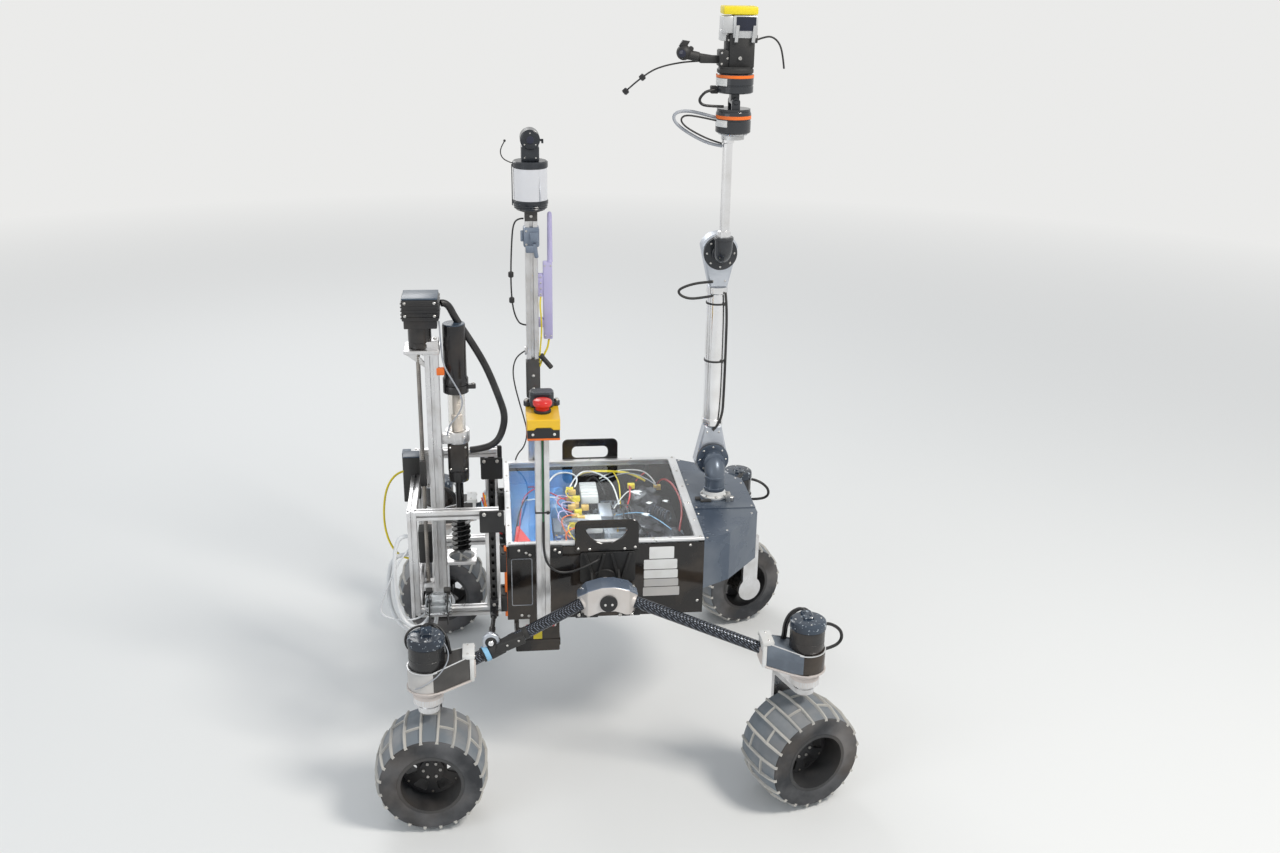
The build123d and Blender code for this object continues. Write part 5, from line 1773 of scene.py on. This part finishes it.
def makeDrillFixings():
    # On the frame: roller plate, controller boxes and the clear box with its straps
    silver, black, straps = blanks(3)
    addPlate(silver, [rounded((-420, -367), (614, 708), 3)], 52, 60, 1, onRight)
    addBox(silver, (-420, -60, 628), (-410, 88, 648), 1)
    for z in (620, 672):
        addBox(black, (-396, -64.5, z), (-370, -60, z + 30), 1)
    finishPiece("rollerPlate", silver, "aluminium", replaced=["lift_plate"])
    screw("cap", left, 3.6, *[(px, -52, z) for px in (-412, -375) for z in (622, 700)])
    screw("cap", right, 3.6, *[(px, -60, z) for px in (-414, -402) for z in (622, 700)])
    addBox(black, (-458, -56, 587), (-421, -18, 688), 2)
    addBox(black, (-470, 88, 518), (-450, 118, 640), 2)
    addBox(black, (-432, -66, 429), (-401, -20, 509), 3)
    addBox(black, (-418, -110, 640), (-404, -96, 700), 2)
    finishPiece("frameBoxes", black, "matt_black")
    finishBoxes(
        "frameBoxTops", "blue_cap", ((-470, 88, 640), (-450, 118, 643), 1),
        ((-458, -56, 688), (-421, -18, 691), 1)
    )
    finishBoxes("clearBox", "clear_box", ((-409, -302, 418), (-352, -270, 462), 6))
    finishBoxes(
        "clearBoxInside", "tool_silver", ((-402, -296, 424), (-359, -274, 440), 2),
        ((-396, -292, 440), (-366, -276, 452), 2)
    )
    for px in (-400, -362):
        addBox(straps, (px - 1.2, -303.4, 397), (px + 1.2, -269, 463.2), 0.5)
        addRod(straps, (px - 7, -277, 468), (px + 7, -277, 468), 6.5, 1.5, 24)
    finishPiece("boxStraps", straps, "rubber")
    # Foot blocks of the frame
    feet = [drillFrame["y"][0], drillFrame["y"][1] - drillFrame["bar"]]
    finishBoxes(
        "frameFeet", "matt_black", *[((-440, py, 394), (-418, py + drillFrame["bar"], 399), 1) for py in feet]
    )


makeLift()
makeDrill()
makeAuger()
makeDrillFixings()
makeCord("drillHose", [
    (-358.8, -60, 1046.5), (-346, -55, 1047), (-330.5, -50, 1010), (-299.8, -50, 960), (-275, -48, 915),
    (-258.5, -45, 877), (-237.8, -40, 816), (-227.5, -40, 780), (-232.7, -40, 744), (-247, -40, 715),
    (-274, -40, 701.5), (-308, -40, 697.6)
], 16, "cable_rubber", "drill_carriage", onto="drill_slide")
makeCord("drillSensorWire", [
    (-363, -98, 1017), (-361, -100, 960), (-358, -99, 918), (-338, -97, 880), (-322, -95, 848.6),
    (-318.8, -92, 823.6), (-334, -92, 795), (-352, -90, 776), (-356, -84, 750)
], 3.5, "cable_grey", "drill_carriage", onto="drill_slide")
for n, (colour, shift) in enumerate((("orange", 0), ("yellow", 4), ("red", -4), ("cable_grey", 8))):
    makeCord(f"drillWire{n}", [
        (-281 + shift, -60, 600 - 6 * n), (-279, -64, 585 - 8 * n), (-272, -70, 560 - 10 * n),
        (-262, -80, 540 - 12 * n), (-240, -84, 530 - 12 * n)
    ], 3.5, colour)
makeCord("clearHose", [
    (-440, -258, 590), (-456, -258, 590), (-467, -260, 568), (-472, -264, 528), (-473, -268, 480),
    (-469, -275, 436), (-457, -286, 404), (-438, -295, 390), (-418, -296, 393), (-405, -287, 404),
    (-402, -280, 408), (-402, -268, 408)
], 9, "hose_white", replaced=["cables"])
makeCord("clearHoseSecond", [
    (-440, -253, 545), (-460, -253, 545), (-479, -252, 528), (-486, -252, 492), (-488, -256, 452),
    (-482, -264, 416), (-466, -275, 390), (-444, -282, 375), (-418, -281, 369), (-396, -270, 372),
    (-388, -258, 382), (-388, -258, 398)
], 9, "hose_white", replaced=["cables"])
makeCord("thinHose", [
    (-440, -262, 560), (-460, -264, 536), (-482, -266, 490), (-502, -266, 444), (-508, -268, 414),
    (-486, -274, 402), (-448, -282, 400), (-424, -284, 406), (-412, -276, 410), (-412, -268, 410)
], 4, "hose_white")
makeCord("frameLoop", [
    (-440, 0, 636), (-462, 0, 636), (-486, -2, 622), (-503, -4, 592), (-511, -6, 545), (-511, -6, 496),
    (-501, -4, 452), (-484, -2, 424), (-462, 2, 409), (-440, 2, 409)
], 5, "yellow", replaced=["cables"])
print("drill")

# Arm: its standing axis, the upper tube beside it, both joints, then the wrist's axis and lower edge
arm = {"x": 264, "tubeY": 65, "shoulder": 628, "elbow": 1128}
wrist = {"x": 274, "low": 1386}


# Deck around the arm
def makeDeck():
    metal = bmesh.new()
    finishBoxes(
        "deckPlates", "matt_black", ((226, -40, 550), (252, -28, 553), 1),
        ((215, -30, 550), (228, -16, 556), 2)
    )
    addBox(metal, (286, -44, 550), (296, -30, 572), 1)
    addRod(metal, (300, -34, 550), (300, -34, 560), 6, 1)
    finishPiece("deckBrackets", metal, "steel")
    screw(
        "dome", up, 2.8,
        *[(x, side * y, 548) for side in (-1, 1) for x, y in ((211, 230), (211, 100), (262, 195), (335, 106))]
    )
    screw("dome", up, 2.8, *[(x, side * 68, 550) for side in (-1, 1) for x in (211, 342)])


def makeArmBase():
    bm, x = bmesh.new(), arm["x"]
    addTurned(bm, [(0, 32), (2, 33), (5, 33), (6, 27), (14, 26), (16, 25)], (x, 0, 550), (x, 0, 566), 48)
    finishPiece("armBase", bm, "white", replaced=["arm_base"])
    screw("cap", up, 3, *[(px, py, 555.5) for px, py in ring(x, 0, 29.6, 8)])


def makeTurret():
    bm, black = blanks(2)
    x, joint = arm["x"], arm["shoulder"]
    for z in (569, 596):
        addTurned(bm, [(0, 24.1), (1, 25.4), (6, 25.4), (7, 24.1)], (x, 0, z), (x, 0, z + 7), 48)
    addTurned(bm, [(0, 24.1), (1, 25.6), (5, 25.6), (6, 24.1)], (x, 6, joint), (x, 12, joint), 48)
    finishPiece("turretRings", bm, "satin_blue", "turret")
    addTurned(black, [(0, 36), (1, 38.2), (7, 38.2), (8, 37)], (x, 34.5, joint), (x, 42.5, joint), 48)
    finishPiece("shoulderSeal", black, "rubber", "turret")
    fasten("turret", "dome", "steel", right, 2.6, *[(px, 34, pz) for px, pz in ring(x, joint, 31, 8)])


def dropLoop(z, way, big=43, neck=20, reach=82):
    # Round end on the joint and a neck towards the tube
    lean = math.degrees(math.asin((big - neck) / reach))
    turns = arc(arm["x"], 0, big, 180 + lean, 360 - lean, 20)
    loop = turns + [(arm["x"] + neck, reach), (arm["x"] - neck, reach)]
    return [(x, z + way * y) for x, y in loop]


def makeHousings():
    bm, dark = blanks(2)
    x, y = arm["x"], arm["tubeY"]
    for z, way in ((arm["shoulder"], 1), (arm["elbow"], -1)):
        addPlate(bm, [dropLoop(z, way)], -86, -44, 4, onRight)
        addPlate(bm, [dropLoop(z, way, 37, 15, 76)], -89, -86, 1, onRight)
        addRod(dark, (x, 88, z), (x, 92, z), 24, 1.2)
        fasten("upper_arm", "dome", "steel", left, 2.6, *[(px, 89, pz) for px, pz in ring(x, z, 30, 8)])
        fasten(
            "upper_arm", "dome", "steel", right, 2.4, (x - 14, 44, z + way * 66), (x + 14, 44, z + way * 66)
        )
    finishPiece("armHousings", bm, "bare_metal", "upper_arm", replaced=["arm_housings"])
    finishPiece("housingCaps", dark, "arm_grey", "upper_arm")
    tube = bmesh.new()
    profile = [(710, 25), (724, 25), (726, 23), (1030, 23), (1032, 25), (1046, 25)]
    addUpright(tube, profile, x, y, 56)
    finishPiece("upperTube", tube, "polished", "upper_arm", replaced=["upper_arm_tube"])
    ties = bmesh.new()
    for z in (717, 867, 1005):
        addUpright(ties, [(z, 23.1), (z, 24.6), (z + 4, 24.6), (z + 4, 23.1)], x, y, 40, closed=True)
        addBox(ties, (276, 42, z - 1), (282, 47, z + 6), 0.8)
    finishPiece("tubeTies", ties, "rubber", "upper_arm")


def makeForearm():
    bm, seal = blanks(2)
    x, joint, wristX, low = arm["x"], arm["elbow"], wrist["x"], wrist["low"]
    addTurned(bm, [(0, 20.1), (1, 21.6), (6, 21.6), (7, 20.1)], (x, 0, 1166), (x, 0, 1173), 44)
    addTurned(bm, [(0, 20.1), (1, 21.6), (6, 21.6), (7, 20.1)], (x, 24, joint), (x, 31, joint), 44)
    finishPiece("elbowRings", bm, "arm_grey", "forearm")
    addTurned(seal, [(0, 36), (1, 38.2), (7, 38.2), (8, 37)], (x, 34.5, joint), (x, 42.5, joint), 48)
    finishPiece("elbowSeal", seal, "rubber", "forearm")
    fasten("forearm", "dome", "steel", right, 2.6, *[(px, 34, pz) for px, pz in ring(x, joint, 31, 8)])
    tube = bmesh.new()
    addUpright(tube, [(1174, 15), (1186, 15), (1188, 11), (1378, 11), (1380, 14), (1386, 14)], x, 0, 40)
    finishPiece("forearmTube", tube, "polished", "forearm", replaced=["forearm_tube"])
    drive = bmesh.new()
    addTurned(drive, [
        (14, 30), (15, 36), (17, 38), (40, 38), (41, 37), (43, 37), (44, 38), (56, 38), (60, 36)
    ], (wristX, 0, low), (wristX, 0, low + 1), 48)
    finishPiece("wristDrive", drive, "arm_grey", "forearm", replaced=["wrist_drive"])
    neck, patch = blanks(2)
    addTurned(
        neck, [(0, 20), (1, 25), (9, 25), (11, 31), (14, 33), (14, 0)], (wristX, 0, low),
        (wristX, 0, low + 1), 48
    )
    finishPiece("wristNeck", neck, "tool_silver", "forearm")
    addPlate(patch, [arc(wristX, 0, 38.7, 184, 240, 12) + arc(wristX, 0, 37.8, 240, 184, 12)], 1415, 1429, 0)
    finishPiece("drivePatchLower", patch, "white", "forearm")
    band = bmesh.new()
    addUpright(band, [(1431, 37.2), (1431, 38.4), (1438, 38.4), (1438, 37.2)], wristX, 0, 48, closed=True)
    finishPiece("driveBandLower", band, "orange", "forearm")


def makeTool():
    bm, x = bmesh.new(), wrist["x"]
    addTurned(bm, [
        (0, 37), (2, 40), (14, 40), (15, 39), (17, 39), (18, 40), (36, 40), (40, 37)
    ], (x, 0, 1484), (x, 0, 1524), 48)
    addRod(bm, (x, -18, 1466), (x, 18, 1466), 9, 1)
    addRod(bm, (x, -27, 1466), (x, 27, 1466), 5, 1)
    addBox(bm, (265, -14, 1466), (283, 14, 1486), 1)
    finishPiece("toolDrive", bm, "arm_grey", "tool_tilt", replaced=["tool_drive"])
    band = bmesh.new()
    addUpright(band, [(1516, 38.8), (1516, 40.4), (1522, 40.4), (1522, 38.8)], x, 0, 48, closed=True)
    finishPiece("driveBandUpper", band, "orange", "tool_tilt")
    finishBoxes("toolPlug", "matt_black", ((222, -8, 1482), (238, 8, 1498), 2), body="tool_tilt")
    patch = bmesh.new()
    addPlate(patch, [arc(x, 0, 40.7, 184, 236, 12) + arc(x, 0, 39.8, 236, 184, 12)], 1500, 1515, 0)
    finishPiece("drivePatchUpper", patch, "white", "tool_tilt")
    silver, black = blanks(2)
    addTurned(black, [(0, 38), (1, 39), (7, 39), (10, 36), (13, 36)], (x, 0, 1525.5), (x, 0, 1538.5), 48)
    addBox(black, (256, -22, 1536), (310, 22, 1604), 3)
    addBox(black, (236, -19, 1538), (258, 19, 1572), 2.5)
    addBox(black, (250, -16, 1568), (260, 16, 1600), 1.5)
    addBox(black, (306, -9, 1586), (318, 9, 1603), 2)
    addBox(silver, (262, -24, 1596), (314, 24, 1642), 3)
    addBox(silver, (240, -21, 1606), (263, 21, 1640), 2)
    addBox(silver, (238, -14, 1590), (250, 14, 1612), 1.5)
    for px in (268, 304):
        addPlate(silver, [[(px, 1622), (px + 7, 1622), (px + 4, 1588), (px - 3, 1588)]], 24, 29, 1, onRight)
    finishPiece("toolMetal", silver, "tool_silver", "tool_head", replaced=["tool_body"])
    finishPiece("toolCase", black, "matt_black", "tool_head")
    finishBoxes("toolCap", "yellow", ((241, -24, 1643), (314, 24, 1659.5), 3), body="tool_head")
    finishBoxes("toolWindow", "lens", ((268, -25.4, 1611), (310, -23, 1639), 1.5), body="tool_head")
    fasten("tool_head", "cap", "steel", right, 4, (279, -22, 1556))
    fasten(
        "tool_head", "dome", "steel", right, 2.6, (241, -19, 1544), (241, -19, 1566), (253, -19, 1555),
        (255, -16, 1592)
    )


def makeSideCamera():
    # Arm out to a ball camera and a gooseneck with two knobs
    black, dark = blanks(2)
    addBox(black, (196, -8, 1544), (244, 8, 1560), 3)
    addRod(black, (190, 0, 1558), (234, 0, 1552), 7, 1)
    addBall(black, (163, 0, 1565), 16, 32)
    addRod(black, (166, 0, 1562), (196, 0, 1556), 10, 2)
    addPlate(black, [[(152, 1578), (170, 1579), (175, 1588), (160, 1590)]], -5, 5, 0.8, onRight)
    addRod(black, (178, -6, 1573), (178, 6, 1573), 5, 1, 18)
    addTurned(dark, [(0, 7), (2, 8), (3, 6), (3, 0)], (158, -14.6, 1564), (156.6, -17.6, 1564), 24)
    finishPiece("sideCamera", black, "matt_black", "tool_head")
    finishPiece("sideLens", dark, "lens", "tool_head")
    knobs = bmesh.new()
    for px, pz in ((76, 1514), (41, 1485)):
        addTurned(knobs, [(0, 4), (2, 7), (10, 7), (12, 4)], (px + 4.5, 0, pz + 4), (px - 4.5, 0, pz - 4), 20)
    addWire(knobs, [
        (206, 2, 1548), (176, 2, 1547), (136, 0, 1541), (108, 0, 1533), (92, 0, 1525), (76, 0, 1514),
        (59, 0, 1501), (41, 0, 1485)
    ], 1.8, 3)
    finishPiece("gooseneck", knobs, "motor_black", "tool_head")


makeDeck()
makeArmBase()
makeTurret()
makeHousings()
makeForearm()
makeTool()
makeSideCamera()
makeCord("toolCable", [
    (312, 0, 1590), (330, 0, 1597), (350, 0, 1600), (368, 0, 1585), (376, 0, 1556), (379, 0, 1534)
], 4, "rubber", "tool_head")
makeCord("elbowLoop", [
    (250, 42, 1061), (225, 42, 1060), (197, 41, 1055), (176, 40, 1047), (170, 40, 1039), (178, 40, 1029),
    (198, 41, 1022), (225, 42, 1024), (250, 42, 1028)
], 6, "rubber", "upper_arm")
makeCord("upperArmCable", [
    (262, 40, 700), (284, 42, 720), (287, 48, 800), (287, 48, 900), (286, 46, 1000), (280, 42, 1035)
], 6, "rubber", "upper_arm")
makeCord("wristLoop", [
    (252, -2, 1372), (236, 0, 1374), (210, 0, 1382), (181, 0, 1397), (155, 0, 1414), (143, 0, 1430),
    (149.5, 0, 1443), (175, 0, 1446), (205, 0, 1440), (236, 0, 1432)
], 7, "cable_grey", "forearm")
makeCord("wristLoopInner", [
    (250, -6, 1378), (228, -6, 1384), (196, -6, 1398), (168, -6, 1414), (158, -6, 1428), (168, -6, 1438),
    (200, -6, 1434), (237, -6, 1426)
], 4, "rubber", "forearm")
makeCord("toolFeed", [
    (229, -10, 1490), (213, -13, 1489), (201, -15, 1479), (196, -15, 1469), (202, -15, 1460),
    (220, -14, 1457), (250, -10, 1456)
], 6, "cable_rubber", "tool_tilt", onto="wrist")
print("arm")

setFasteners()
print("fasteners", sum(len(rows) for rows in fastenerRows.values()))
for note in cordNotes:
    print("cord", *note)
